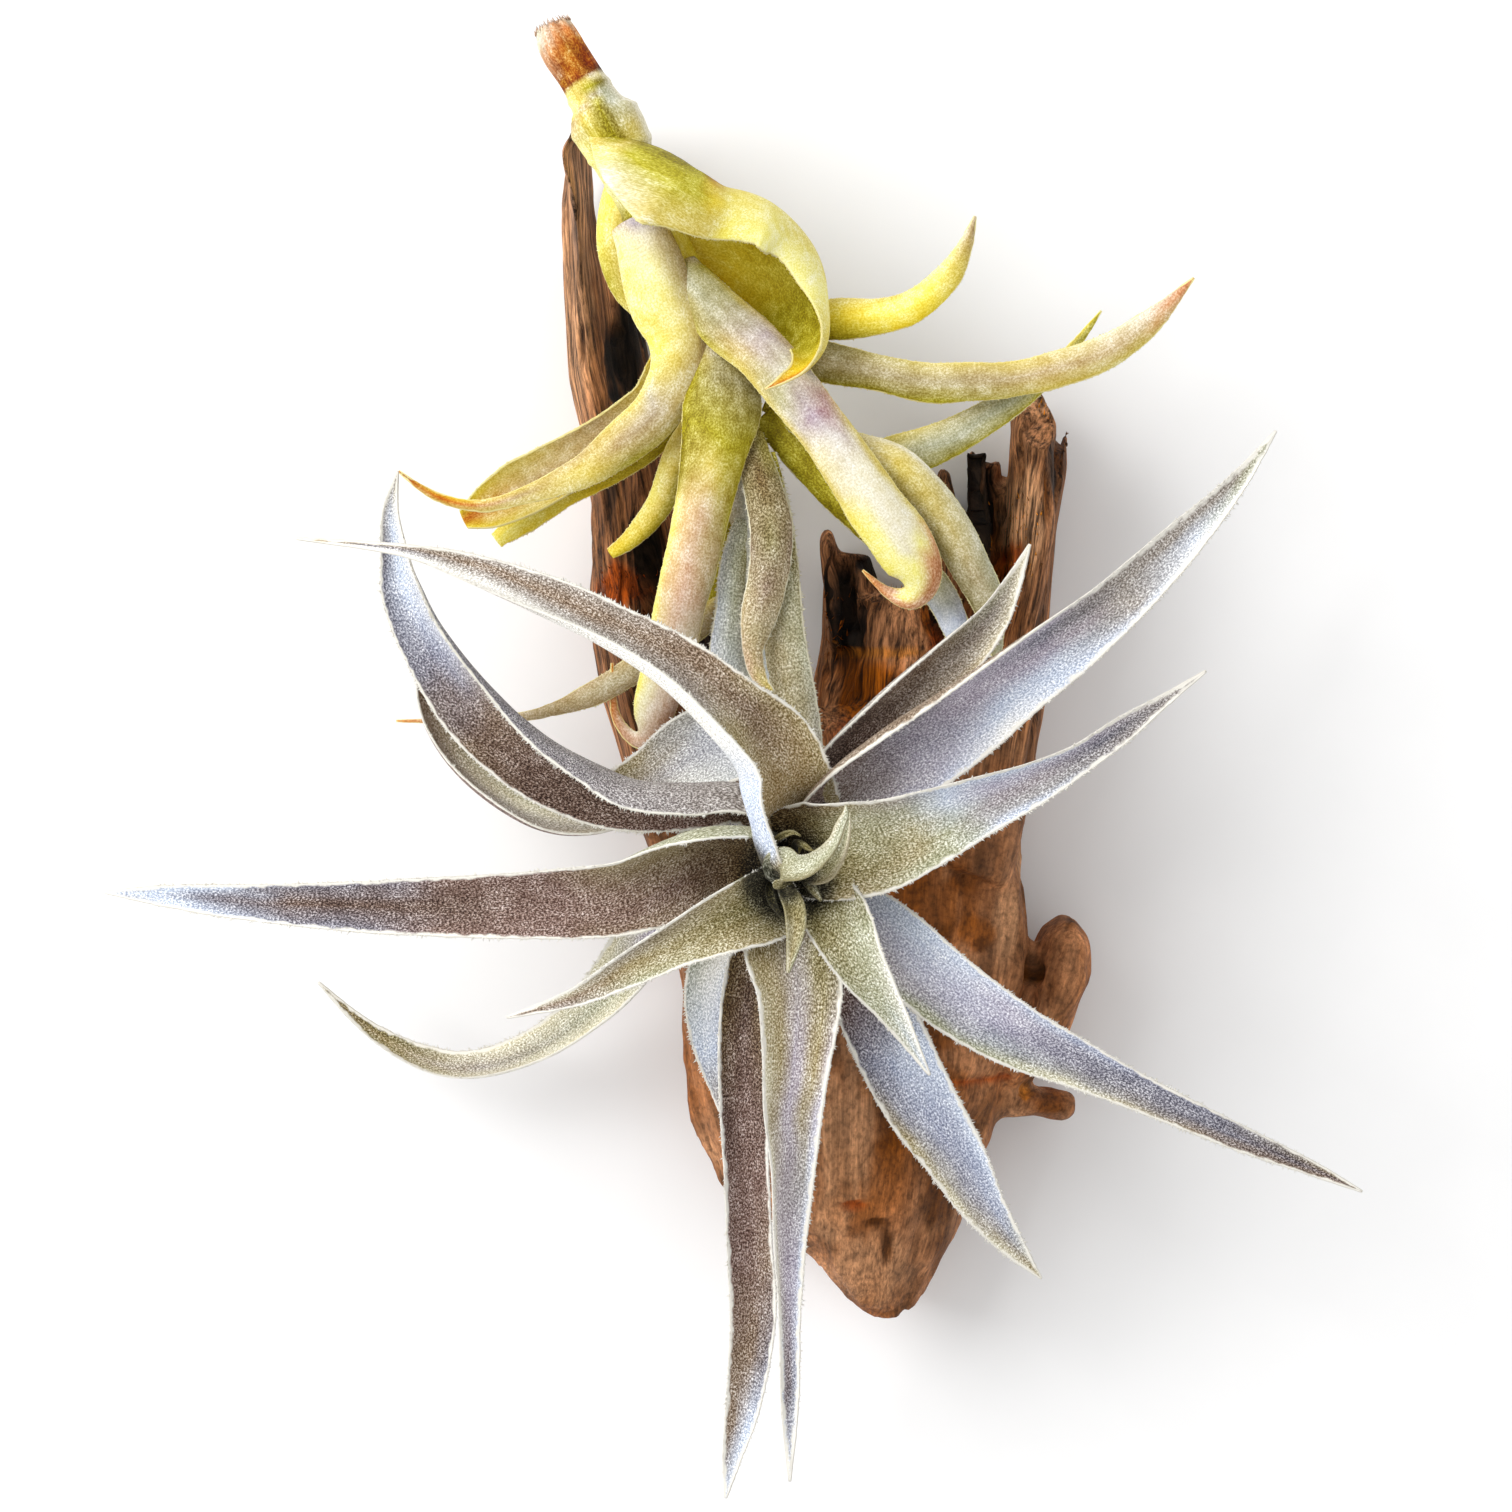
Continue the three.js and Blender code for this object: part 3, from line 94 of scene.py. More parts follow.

# Leaves: name, stations, skin of the back, skin of the face. A station is x, y and height of the middle line,
# width across as seen from above, roll of the face towards the right hand and half angle of the channel,
# below zero where the leaf is round on top. Each stop of a skin is a share of the length and its colours
# from left to right. Besides each leaf's own colours the skins hold painted highlights of white, ice and blue
# on the flanks that face the light, and painted shade, dark in shaded channels and near black at the roots by
# the heart
LEAVES = """
leaf_ene_front | -3 2.5 56 6.5 0 60, -.5 3 59 12.5 6 64, 3 3 62 15 8 62, 6.5 3 65 15.5 10 57,
12.5 4 67 15 12 50, 19.5 6.5 69 12.5 14 52, 28 10 69 9.5 18 56, 36.5 13.5 68 7 22 58, 44 17.5 67 5 22 55,
51.5 22.5 66 4 15 52, 58 27 65 2 8 45, 64.5 31.5 64 .5 0 35
| 0 grey | 0 night bark leek; .05 bark bark bark leek; .14 bark leek leek khaki; .22 khaki sage leek khaki;
.32 grey sage khaki sage; .4 ice ice sage sage; .48 ice lilac grey ice; .6 ice lilac grey ice;
.75 lilac slate grey; 1 cream grey grey

leaf_nw_long | 1.5 2.5 53 13.5 58 82, 0 7.5 59 14.5 56 84, -1.5 12.5 63 14.5 48 81, -4.5 19.5 66 13.5 48 82,
-10.5 25.5 69 10.5 48 82, -19 32.5 70 8.5 50 82, -28.5 38 69 7 50 80, -39 43 66 6.5 40 75,
-52.5 48 62 4.5 25 65, -64 51 60 2 10 55, -81 53 57 .5 0 40
| 0 bark; .07 olive; .095 khaki; .115 ice ice grey taupe; .2 ice ice grey taupe; .28 white white grey taupe;
.45 white white grey slate slate; .8 grey white grey slate slate; 1 beige | 0 beige beige khaki khaki;
.12 cream beige beige khaki; .25 white cream khaki taupe khaki; .36 white white grey taupe taupe;
.55 white white grey taupe grey; .75 white white grey taupe grey; .88 white white slate grey cream; 1 beige

leaf_sw_short | -2 -4 52 9.5 -10 60, -4 -5 59 12 -10 58, -7.5 -6.5 64 12 -12 58, -12.5 -8.5 67 10 -15 60,
-19 -11.5 67 7.5 -15 60, -27.5 -16 65 5.5 -12 58, -36 -20.5 62 3 -8 50, -47 -24 58 .5 0 40
| 0 sage | 0 night; .06 bark; .1 leek; .3 khaki leek khaki; .6 sage khaki grey; .8 grey taupe cream;
1 grey taupe white

leaf_se_short | 3 -2.5 61 7.5 0 55, 6 -8 67 10.5 0 52, 9.5 -15 69 8 0 50, 14.5 -22.5 68 4.5 0 45,
20.5 -32.5 66 .5 0 35
| 0 sage | 0 night; .07 bark; .12 leek; .3 sage sage leek leek; .6 white sage sage sage; 1 white ice cream

leaf_s_front | 0 -6 56 9.5 0 55, -1 -12 61 15.5 -5 50, 0 -20 63 13.5 -8 50, -.5 -30 63 11 -12 55,
-1 -37.5 62 9.5 -18 60, -1 -48.5 60 7 -25 66, -1.5 -61.5 57 5 -25 66, -1.5 -73 55 3.5 -20 60,
-1.5 -86.5 53 3 -10 55, -1.5 -100 51 .5 0 40
| 0 ice | 0 night; .05 bark; .1 leek leek grey khaki khaki; .3 lilac khaki lilac khaki cream;
.5 ice grey lilac cream; .65 ice lilac lilac cream; .82 ice slate mauve ice; 1 white ice ice

leaf_ne_long | 2 4 49 7.5 20 60, 8 10 55 11.5 34 72, 17 16.5 59 13 38 78, 25.5 22.5 61 12.5 36 78,
34.5 29.5 62 11 30 74, 43 36 61 10 22 66, 52 43.5 60 8.5 12 56, 61 52 58 6.5 5 50, 70 61.5 56 3.5 0 45,
77 70.5 55 .5 0 35
| 0 taupe | 0 night; .05 dusk night dusk; .12 taupe mauve grey lilac; .25 grey slate lilac ice;
.36 lilac lilac lilac ice white; .5 lilac slate lilac ice ice; .64 grey grey grey grey ice;
.8 grey grey ice white; .9 grey grey sage white; 1 cream sage sage

leaf_ese_long | 6 -4.5 51 7.5 0 45, 14 -11 56 11.5 0 45, 23.5 -19.5 58 12 0 42, 34 -26.5 57 10.5 0 40,
44.5 -31.5 55 8 0 40, 55 -36.5 53 6 0 40, 70 -43.5 50 4.5 0 38, 84 -49.5 47 2.5 0 35, 92.5 -53.5 46 .5 0 30
| 0 grey | 0 ice lilac khaki; .15 ice ice lilac sage; .35 ice lilac blue sage; .52 blue slate slate cream;
.75 slate slate taupe; 1 khaki dusk taupe

leaf_se_long | 4 -6.5 49 7.5 0 40, 8.5 -15 52 10 0 40, 13.5 -26 52 12.5 0 38, 19.5 -38 50 12 0 35,
25.5 -47.5 47 10 0 32, 30 -55.5 44 7.5 0 30, 35 -62.5 41 4.5 0 30, 40.5 -69 38 .5 0 30
| 0 grey | 0 dusk dusk mauve; .2 slate dusk mauve dusk; .36 ice ice blue slate; .55 ice blue blue khaki;
.8 ice blue grey cream; 1 cream khaki cream

leaf_s_long | -2.5 -6.5 48 7.5 0 55, -7 -15 53 8.5 0 58, -9 -26 55 8 0 60, -9 -36 55 8 0 60,
-8.5 -49.5 53 7.5 0 58, -8 -62.5 50 7.5 0 55, -7.5 -73.5 48 7.5 0 50, -9 -87.5 46 6 5 50, -11 -98 44 3 0 45,
-12 -104.5 43 .5 0 40
| 0 grey | 0 bark; .2 bark dusk bark; .36 dusk mauve dusk; .45 mauve; .6 taupe mauve mauve;
.75 slate taupe taupe; .88 ice ice taupe taupe; 1 white ice ice

leaf_w_long | -.5 1 50 7.5 -50 60, -12.5 0 55 12.5 -52 72, -19.5 -2 56 13 -38 72, -29 -5 56 12 -18 62,
-42 -6 54 11 -5 50, -65 -6.5 51 9 0 42, -90 -6 46 6 0 42, -104.5 -5 44 3.5 0 40, -114.5 -4.5 43 .5 0 35
| 0 sage | .07 bark; .16 taupe mauve khaki khaki; .25 taupe mauve taupe khaki; .35 mauve;
.5 mauve dusk mauve; .62 slate dusk slate; .72 slate dusk slate; .84 ice slate ice; .91 ice; 1 grey ice grey

leaf_w_upper | 0 6.5 47 6 -74 70, -10 10 51 6.5 -80 84, -17.5 9.5 51 7.5 -78 84, -26 9.5 50 8 -74 82,
-34 11.5 48 9.5 -62 86, -44 16.5 47 10 -50 86, -54 25.5 46 10 -36 80, -61.5 36.5 46 8 -34 75,
-65 44.5 46 7 -28 70, -66 50.5 47 5 -20 65, -66.5 57.5 50 3 -10 60, -65 64 54 .5 0 45
| 0 grey; .6 slate; 1 ice | 0 bark bark taupe; .2 mauve mauve dusk; .32 dusk dusk mauve;
.45 dusk dusk dusk taupe; .55 taupe dusk taupe grey; .68 slate slate blue white; .82 slate ice white;
.92 grey ice white; 1 cream grey cream

leaf_nne_short | 1 7.5 45 6 20 60, 7 16 48 8 30 70, 16 24.5 51 9 34 74, 24 32 52 8 30 72, 30.5 39 53 6 20 65,
34 45 55 3.5 10 55, 37 52 58 .5 0 40
| 0 grey | 0 dusk night dusk; .3 dusk dusk mauve; .55 taupe taupe grey beige; .8 sage grey cream; 1 cream

leaf_w_lower | -3.5 20.5 40 8 -10 50, -10 21 43 13 0 50, -17 18.5 43 13.5 8 52, -25 13.5 40.5 10.5 22 56,
-34.5 9.5 37 8.5 38 60, -43 10.5 34 8.5 45 65, -53.5 17 32 7.5 45 65, -60.5 25.5 31 5.5 40 60,
-63 34 33 2.5 30 50, -64.5 40 35 .5 0 40
| 0 mauve | 0 ice; .3 cream grey khaki; .55 mauve grey cream sage sage; .85 taupe taupe sage;
1 taupe grey taupe

leaf_s_back | .5 6.5 45 5 0 40, -4.5 -5 43 7 0 40, -10.5 -11.5 43 9 0 40, -14.5 -20 42 8.5 0 38,
-14.5 -29 41 6.5 0 35, -13.5 -36.5 40 3 0 35, -13 -41 40 .5 0 30
| 0 grey | 0 ice; .5 ice white sage; .8 blue ice ice; 1 grey

leaf_sw_low | -3.5 12.5 41 6.5 0 50, -10 8.5 42 8.5 0 50, -16 2.5 40 9.5 0 52, -21.5 -6 36 10 0 55,
-28.5 -16.5 31 9 15 60, -36 -25 26 7 25 62, -45 -31.5 21 5.5 35 62, -55.5 -35 18 4.5 40 62,
-64.5 -34 16 4 35 58, -74 -29 16 2.5 20 50, -82.5 -21 18 .5 0 40
| 0 dusk | 0 ice lilac sage; .3 ice lilac cream; .42 cream sage cream; .7 cream grey cream;
.85 leek khaki olive; 1 olive bark olive

stem_leaf_front | -8.5 71.5 41 5 0 -45, -6 62.5 45 6.5 0 -45, -4.5 55 47 7 0 -45, -5 47.5 47 6.5 0 -45,
-6.5 41 47 6 0 -50, -7.5 35.5 47 3.5 0 -50, -6.5 31 47 2.5 0 -40, -4 28.5 47 .5 0 -30
| 0 sage | 0 green leek khaki; .2 leek bark leek; .45 taupe leek taupe; .6 khaki taupe khaki;
.75 khaki khaki beige; .88 beige beige pink; 1 straw straw beige

stem_leaf_right | -6 68 41 4.5 25 -50, -4 57 42 6 30 -55, -3 47 43 6.5 30 -55, -2.5 37 43 7.5 30 -55,
-1 27 44 8 25 -55, .5 19 46 7 20 -50, 1.5 12.5 47 3.5 10 -45
| 0 sage | 0 green leek green; .3 leek sage beige khaki; .6 sage khaki khaki; 1 grey leek leek

stem_leaf_left | -8.5 57 40 4 -20 -40, -10.5 49.5 41 5 -20 -40, -11 42 41 5.5 -20 -40,
-11.5 34.5 41 6.5 -20 -45, -10.5 27.5 41 5.5 -10 -45, -8.5 21.5 41 1 0 -30
| 0 sage | 0 green sage sage; .4 grey sage ice; 1 white ice grey

old_leaf_hook | -33 123.5 41 2.5 120 45, -30.5 118.5 43.5 6.5 114 62, -26 113 45.5 11.5 100 72,
-21.5 108.5 44.5 14 84 85, -16.5 105 42 14.5 74 95, -9 102 39 16 68 100, -3 97.5 39 13.5 66 100,
.5 90.5 43 9 62 98, 1.5 85 49 6 55 85, 0 81 54 3 40 70, -3 78.5 56 1.5 20 50, -5.5 77 57 .5 0 40
| .08 straw green moss moss moss; .13 butter straw moss moss moss; .18 cream lime moss moss moss;
.24 straw lime moss moss moss; .28 straw lime green green green; .31 straw yellow amber green green;
.36 lemon straw green; .45 butter straw yellow; .6 butter straw lemon; .72 butter butter lemon;
.88 straw yellow lemon; .96 orange yellow; 1 orange rust | 0 yellow straw yellow; .2 straw yellow green;
.3 moss green yellow straw; .5 moss green yellow; .65 moss moss green; .78 yellow green green;
.9 orange yellow yellow; 1 rust orange rust

old_leaf_cross | -20.5 99 40 7.5 0 -35, -16 94 43.5 8.5 0 -38, -11.5 89 46 9.5 0 -40, -6.5 84.5 48 9 0 -45,
-1.5 78.5 49 9 0 -45, 3.5 72 50 8.5 0 -45, 8 65.5 51 9 0 -45, 13 58 51 9.5 0 -45, 17.5 52 50 10 0 -45,
19.5 47 48.5 8 0 -40, 18 44 47 4.5 0 -30, 14.5 45 45.5 2 0 -30, 10.5 48.5 46 .5 0 -30
| 0 straw | 0 grey beige grey; .04 green sage green; .15 straw sage khaki green; .26 beige lilac beige straw;
.36 grey cream sage straw; .43 pink plum lilac straw; .5 straw lilac cream straw; .6 straw cream cream straw;
.72 straw cream cream butter lemon; .77 tan butter cream butter lemon; .81 clay tan butter butter lemon;
.86 clay clay butter butter straw; .89 tan tan lemon butter straw; .92 clay tan pink clay; 1 orange

old_leaf_centre | -12.5 87 42 7.5 0 -45, -12.5 76.5 46 13 0 -45, -14 68 47 11 0 -50, -15.5 60 47 9.5 0 -55,
-17.5 51 47 9 0 -55, -19.5 43 46 8.5 0 -55, -21.5 34 44 8 0 -55, -23.5 27 42 7.5 0 -50, -25 22 39 5.5 0 -40,
-27.5 21 36 2.5 0 -30, -30.5 25 35 1.5 0 -30, -31 33.5 37 .5 0 -30
| 0 beige | 0 grey grey straw; .03 straw leek straw; .08 leek leek green; .2 green green moss;
.27 green straw moss; .36 green beige pink lemon; .5 khaki pink pink lemon; .62 beige cream pink lemon;
.72 pink pink cream lemon; .84 pink pink cream; .9 orange tan orange; 1 rust orange rust

old_leaf_left | -27 107 41.5 8.5 0 -45, -24.5 100 43.5 10.5 0 -50, -22.5 93 44 11 0 -50,
-20 87.5 44 10 0 -50, -20.5 81.5 44 8 0 -50, -23.5 75 43 8 0 -50, -29.5 69.5 42 7.5 0 -45,
-36 65 41 5.5 10 -40, -44.5 61.5 41 3 15 -35, -52.5 59.5 41 2 0 -30, -60 61 41 1.5 0 -30, -66 65 43 .5 0 -30
| 0 straw | 0 grey lilac beige; .04 beige cream butter; .15 beige butter straw; .3 beige straw lemon;
.4 straw beige grey straw; .5 green beige straw; .6 straw straw beige; .75 straw beige straw;
.88 straw orange yellow; 1 orange rust orange

old_leaf_se_outer | -5 77.5 38 4 0 -40, 7.5 69 44 6.5 0 -45, 15.5 66 46 7 0 -45, 20.5 61.5 46 7 0 -45,
25 55.5 45 7 0 -45, 28.5 49 44 6.5 0 -45, 31.5 43 43 5.5 0 -40, 32.5 37 42 3 0 -35, 33 32.5 41 .5 0 -30
| 0 sage | 0 green; .15 straw beige green; .4 cream straw straw leek; .75 sage khaki leek; 1 sage sage leek

old_leaf_se_inner | -5.5 75 39 5.5 0 -40, .5 68.5 39 6.5 0 -45, 6.5 62 39 6.5 0 -45, 13 56 39 6.5 0 -45,
18.5 50.5 39 6 0 -40, 23.5 45 39 5.5 0 -40, 26.5 38.5 39 4.5 0 -40, 28 33 39 2.5 0 -35, 28.5 28.5 39 .5 0 -30
| 0 sage | 0 green moss green; .3 straw green moss; .6 green green moss; .8 blue ice ice; 1 white ice sage

old_leaf_e_long | -10 88 36 5 0 -40, -4.5 86 38.5 6 0 -40, 3.5 83.5 42 7 0 -45, 13.5 81 45 6 0 -45,
21 79.5 46 6.5 0 -45, 29 79.5 47 6.5 0 -45, 36 80 47 6 0 -45, 42.5 81.5 48 6 0 -45, 50 84 49 5.5 0 -45,
57 88.5 51 4 0 -40, 64 95.5 53 .5 0 -30
| 0 green | 0 green leek moss; .2 leek khaki moss; .45 straw khaki green; .65 straw beige straw;
.85 cream beige straw; .95 pink tan tan; 1 clay tan clay

old_leaf_ne_upper | 1.5 90 39 5 0 -40, 5.5 90.5 41 7 0 -45, 12 90.5 43 6 0 -45, 18.5 92 45 5.5 0 -45,
24 96 48 4.5 0 -40, 27 101 51 2.5 0 -35, 28.5 105.5 53 .5 0 -30
| 0 straw | 0 straw green moss; .2 straw yellow green; .4 straw lemon yellow; .6 butter lemon yellow;
.8 butter straw straw; .93 cream beige beige; 1 beige beige taupe

old_leaf_e_back | 3 68.5 40 5.5 0 -40, 12 66.5 41 7.5 0 -45, 17.5 68 41 7.5 0 -45, 24.5 70.5 41 6.5 0 -45,
31 74 41 5.5 0 -45, 37 78 41 4.5 0 -40, 43.5 83.5 41 2.5 0 -35, 47 87.5 42 1.5 0 -30, 50 91.5 43 .5 0 -30
| 0 green | 0 green straw green; .35 straw sage green; .6 leek sage green; 1 yellow green green

old_sheath | -28 115 38 6.5 0 -50, -29.5 108.5 36 8 0 -55, -29.5 102 35 8 0 -55, -27.5 95.5 34 6 0 -50,
-25.5 91 34 1.5 0 -35
| 0 straw | 0 lemon butter lemon; .35 butter straw lemon; .7 straw straw green; 1 green green straw

old_leaf_left_back | -21.5 85.5 35 5.5 0 40, -24 78.5 34 7 0 45, -29.5 73 33 8 0 50, -37.5 67.5 33 9 0 52,
-46 63 33 9.5 0 55, -52 59.5 34 7.5 0 55, -56 57.5 35 3.5 0 50
| 0 yellow | 0 green moss yellow; .4 yellow beige beige; .75 straw beige straw; 1 yellow orange yellow

old_leaf_left_low | -21 74.5 34 3.5 0 -40, -25 70 33 4.5 0 -40, -31.5 66 31 4.5 0 -40, -38.5 63 30 5 0 -40,
-45 59 29 5 0 -30, -51 54.5 28 3 0 -20
| 0 green | 0 moss moss green; .5 yellow green yellow; 1 yellow lemon yellow

old_leaf_spur | -15.5 77.5 37 3.5 0 -40, -20.5 67.5 37 4.5 0 -45, -23 60.5 35 4.5 0 -45,
-27.5 55 34 3.5 0 -40, -31.5 52 33 2 0 -30
| 0 straw | 0 green straw straw; .6 green straw lemon; 1 yellow yellow straw

old_leaf_sw_thin | -10.5 44.5 38 4 0 -40, -22.5 35.5 38 5 0 -45, -29.5 31 37 4.5 0 -45, -35 28 37 4 0 -45,
-40.5 26 35 2.5 0 -40, -47.5 24.5 31 1.5 0 -40, -59 24 25 1 0 -35, -68.5 24 23 .5 0 -30
| 0 beige | 0 khaki beige straw; .35 beige khaki beige; .6 beige; .85 pink beige pink; 1 rust orange rust

old_leaf_s_inner | -8.5 70.5 38 4.5 0 -40, -10.5 60.5 38 5.5 0 -40, -11.5 50.5 38 5.5 0 -40,
-13.5 44 37 4.5 0 -35, -15 40 36 1 0 -30
| 0 green | 0 moss moss green; 1 leek green green
"""

# The young leaves are painted near black at their roots, as painted shade deep in the heart
HEART_LEAVES = """
crescent | -2.5 .25 62 4.25 0 60, -3.25 .5 69 5.25 -10 65, -2 1 72 5.75 -22 70, -.25 .75 74 4 -30 70,
1.75 1.5 76 3 -35 70, 3.75 3.25 78 2.25 -35 70, 5 5 79.5 1.75 -30 65, 6 7.5 81 1.5 -20 60,
6.75 9.25 82 1 -10 50, 6.75 10.5 82 .25 0 40
| 0 leek | 0 night; .2 sage leek olive; .5 sage sage leek; .8 cream sage sage

outer_crescent | .25 -.5 62 2.75 0 50, 2.25 -.5 68 3.25 -15 60, 4.25 .25 71 3 -30 65,
5.75 2.25 73 2.25 -30 65, 6.75 4.5 75 1.5 -25 60, 7.25 6.75 76 1 -15 50, 7.5 9.25 77 .25 0 40
| 0 khaki | 0 night; .3 olive leek khaki; 1 sage sage cream

down_spear | -2.25 -.5 60 2.25 0 60, -2 -3.25 66 2.75 0 70, -1 -5.75 70 3.25 0 75, -.75 -8.25 71 3.25 0 70,
-1 -10.75 71.5 2.5 0 70, -1.5 -13.5 71.5 1.5 0 60, -2 -16 71 .5 0 50
| 0 leek | 0 night; .25 olive leek olive; .5 leek; 1 sage khaki cream

small_spear | 0 .25 62 1.5 0 40, 1 -1.75 67 1.5 0 45, 2 -3 69 1.5 0 45, 3.25 -4.75 70 .5 0 40
| 0 leek | 0 night; .5 leek leek olive; 1 sage leek leek

inner_blade | -3.75 1.75 61 1.5 0 50, -4 4.25 68 1 30 60, -2.75 5.5 71 1 40 60, -1.25 6 72 .75 30 50,
0 5.5 72 .25 10 40
| 0 leek | 0 night; .6 olive olive leek; 1 leek

bud_tip | -1 2 61 1.5 0 60, -.75 4.25 67 1 0 60, .5 4 70 1 0 60, 1.25 3.5 71 .75 0 55, 2.25 3 71 .25 0 40
| 0 olive | 0 night; .6 olive; 1 leek olive leek

left_ridge | -2.5 -1 58 2 0 40, -4.75 -2.75 63 1.5 0 50, -4.5 -4.75 65 1.5 0 50, -3.75 -6.25 66 1 0 45,
-2.5 -8 66 .5 0 40
| 0 olive | 0 night; .4 olive; 1 leek olive leek
"""

# Bare stem and bud of the rosette: x, y, height and radius of each station
STEM = """
-40.5 138.5 43 3, -39 135 43 4, -36 130.5 42 4, -33.5 126 42 4.5, -32 123 42 5.5, -30 119.5 41 5.5,
-28.5 116 40 5, -26 110.5 37 4.5, -21.5 101.5 36 4.5, -16.5 89 36 4.5, -12 76 36 4.5, -8.5 62.5 36 4.5,
-6 47.5 37 4.5, -4 34 38 4.5, -1.5 21.5 40 4.5, 0 11.5 45 4.5, 1 4.5 52 4, 1 1 60 3
"""
STEM_SKIN = """
0 cream tan cream; .014 tan orange tan cream; .026 orange amber orange tan; .04 amber amber orange amber tan;
.054 rust amber orange amber; .064 brown amber amber; .07 cream straw straw;
.08 cream moss lime straw butter; .09 cream sage khaki straw butter; .097 cream sage green beige butter;
.104 cream sage moss straw beige; .13 cream straw moss lime butter; .19 cream lime moss lime butter;
.22 lemon lemon lime moss; .27 lemon straw green; .34 lemon lemon green straw; .45 beige sage beige;
.75 ice ice sage; 1 leek olive leek
"""
BUD = "-1 .5 53 1, -1 .5 56 3.2, -1 .5 60 3.9, -1 .5 64 3.8, -1 .5 68 2.6, -1 .5 70.5 .6"

# Leaves whose margins carry a broad white lace, and how much broader it is
BROAD_LACE = {"leaf_ne_long": 2.2, "leaf_nne_short": 1.6, "leaf_s_front": 1.8, "leaf_se_long": 1.5,
              "leaf_ene_front": 1.5, "leaf_s_long": 1.4, "leaf_sw_low": 1.4, "leaf_w_long": 1.3}

SLOTS = {"leaf_": "silver_leaf", "stem_leaf_": "pale_leaf", "old_": "yellow_leaf"}
GREEN_LEAVES = ("old_leaf_se_outer", "old_leaf_se_inner", "old_leaf_e_back", "old_leaf_sw_thin",
                "old_leaf_s_inner")

# Colours, as a screen shows them. Shadow is near black, used only for painted shade
PAINTS = """
white 246 244 238, ice 212 220 234, blue 172 176 194, lilac 196 188 200, grey 176 168 160, khaki 182 168 130,
taupe 150 130 110, mauve 138 114 104, slate 140 138 148, dusk 112 90 78, night 40 30 23, cream 232 226 202,
sage 184 184 158, leek 152 142 98, bark 116 92 52, olive 112 102 48, moss 138 124 2, green 176 164 36,
lime 192 182 44, straw 220 202 112, yellow 238 214 60, lemon 244 234 122, butter 246 240 160,
beige 196 174 132, pink 216 182 156, plum 170 136 148, orange 212 130 34, rust 174 78 12, brown 94 50 8,
clay 188 130 88, tan 214 160 116, amber 158 84 6
"""

# Driftwood. Its grain fans out from a point below the wood in the photo
GRAIN_FAN = (5.4, -137.4)
GRAIN_RADIUS = 150
GRAIN_WANDER = 1.4
WOOD_VOXEL = 0.85
TORN_FROM = (6, 24)

# Splinters: how many on a square millimetre, ranges of size, lift, half width and shade, and the lowest place
SPLINTERS = 1.2
SPLINTER_SIZE, SPLINTER_LIFT, SPLINTER_WIDE, SPLINTER_SHADE = (0.3, 1), (0.05, 0.5), (0.12, 0.3), (0.35, 1.15)
SPLINTER_LOWEST = 12

# Noises of the wood: sizes of a cell in x, y and height, or across, along and through the grain, and a seed
WOOD_NOISES = """
wander 16 30 14 21, border 8 8 8 20, broad 7 60 9 22, ridge 2.4 34 3.4 23, thread 1.1 14 1.8 24,
crack 3.2 40 5 25, cracked 14 45 14 26, lump 9 15 9 27, dimple 3.1 3.1 3.1 28, patch 4 7 5 29,
warm 13 17 12 30, stained 1.5 6 3 31, stain 2 2 2 32, fleck 2.2 3.5 2.2 35, cloud 5.5 5.5 5.5 36,
pale 6 10 6 37
"""

# Torn places with splinters: lowest x and y, highest x and y, height of the splinters and their colour
TORN = """
8 44 22 48 2.2 clay, -34 42 -24 50 1.8 rust, 33 47 41 62 1.6 orange, 5 33 10 46 1.8 amber,
36 75 43 79 1.2 orange, 21 34 27 46 1.4 rust
"""

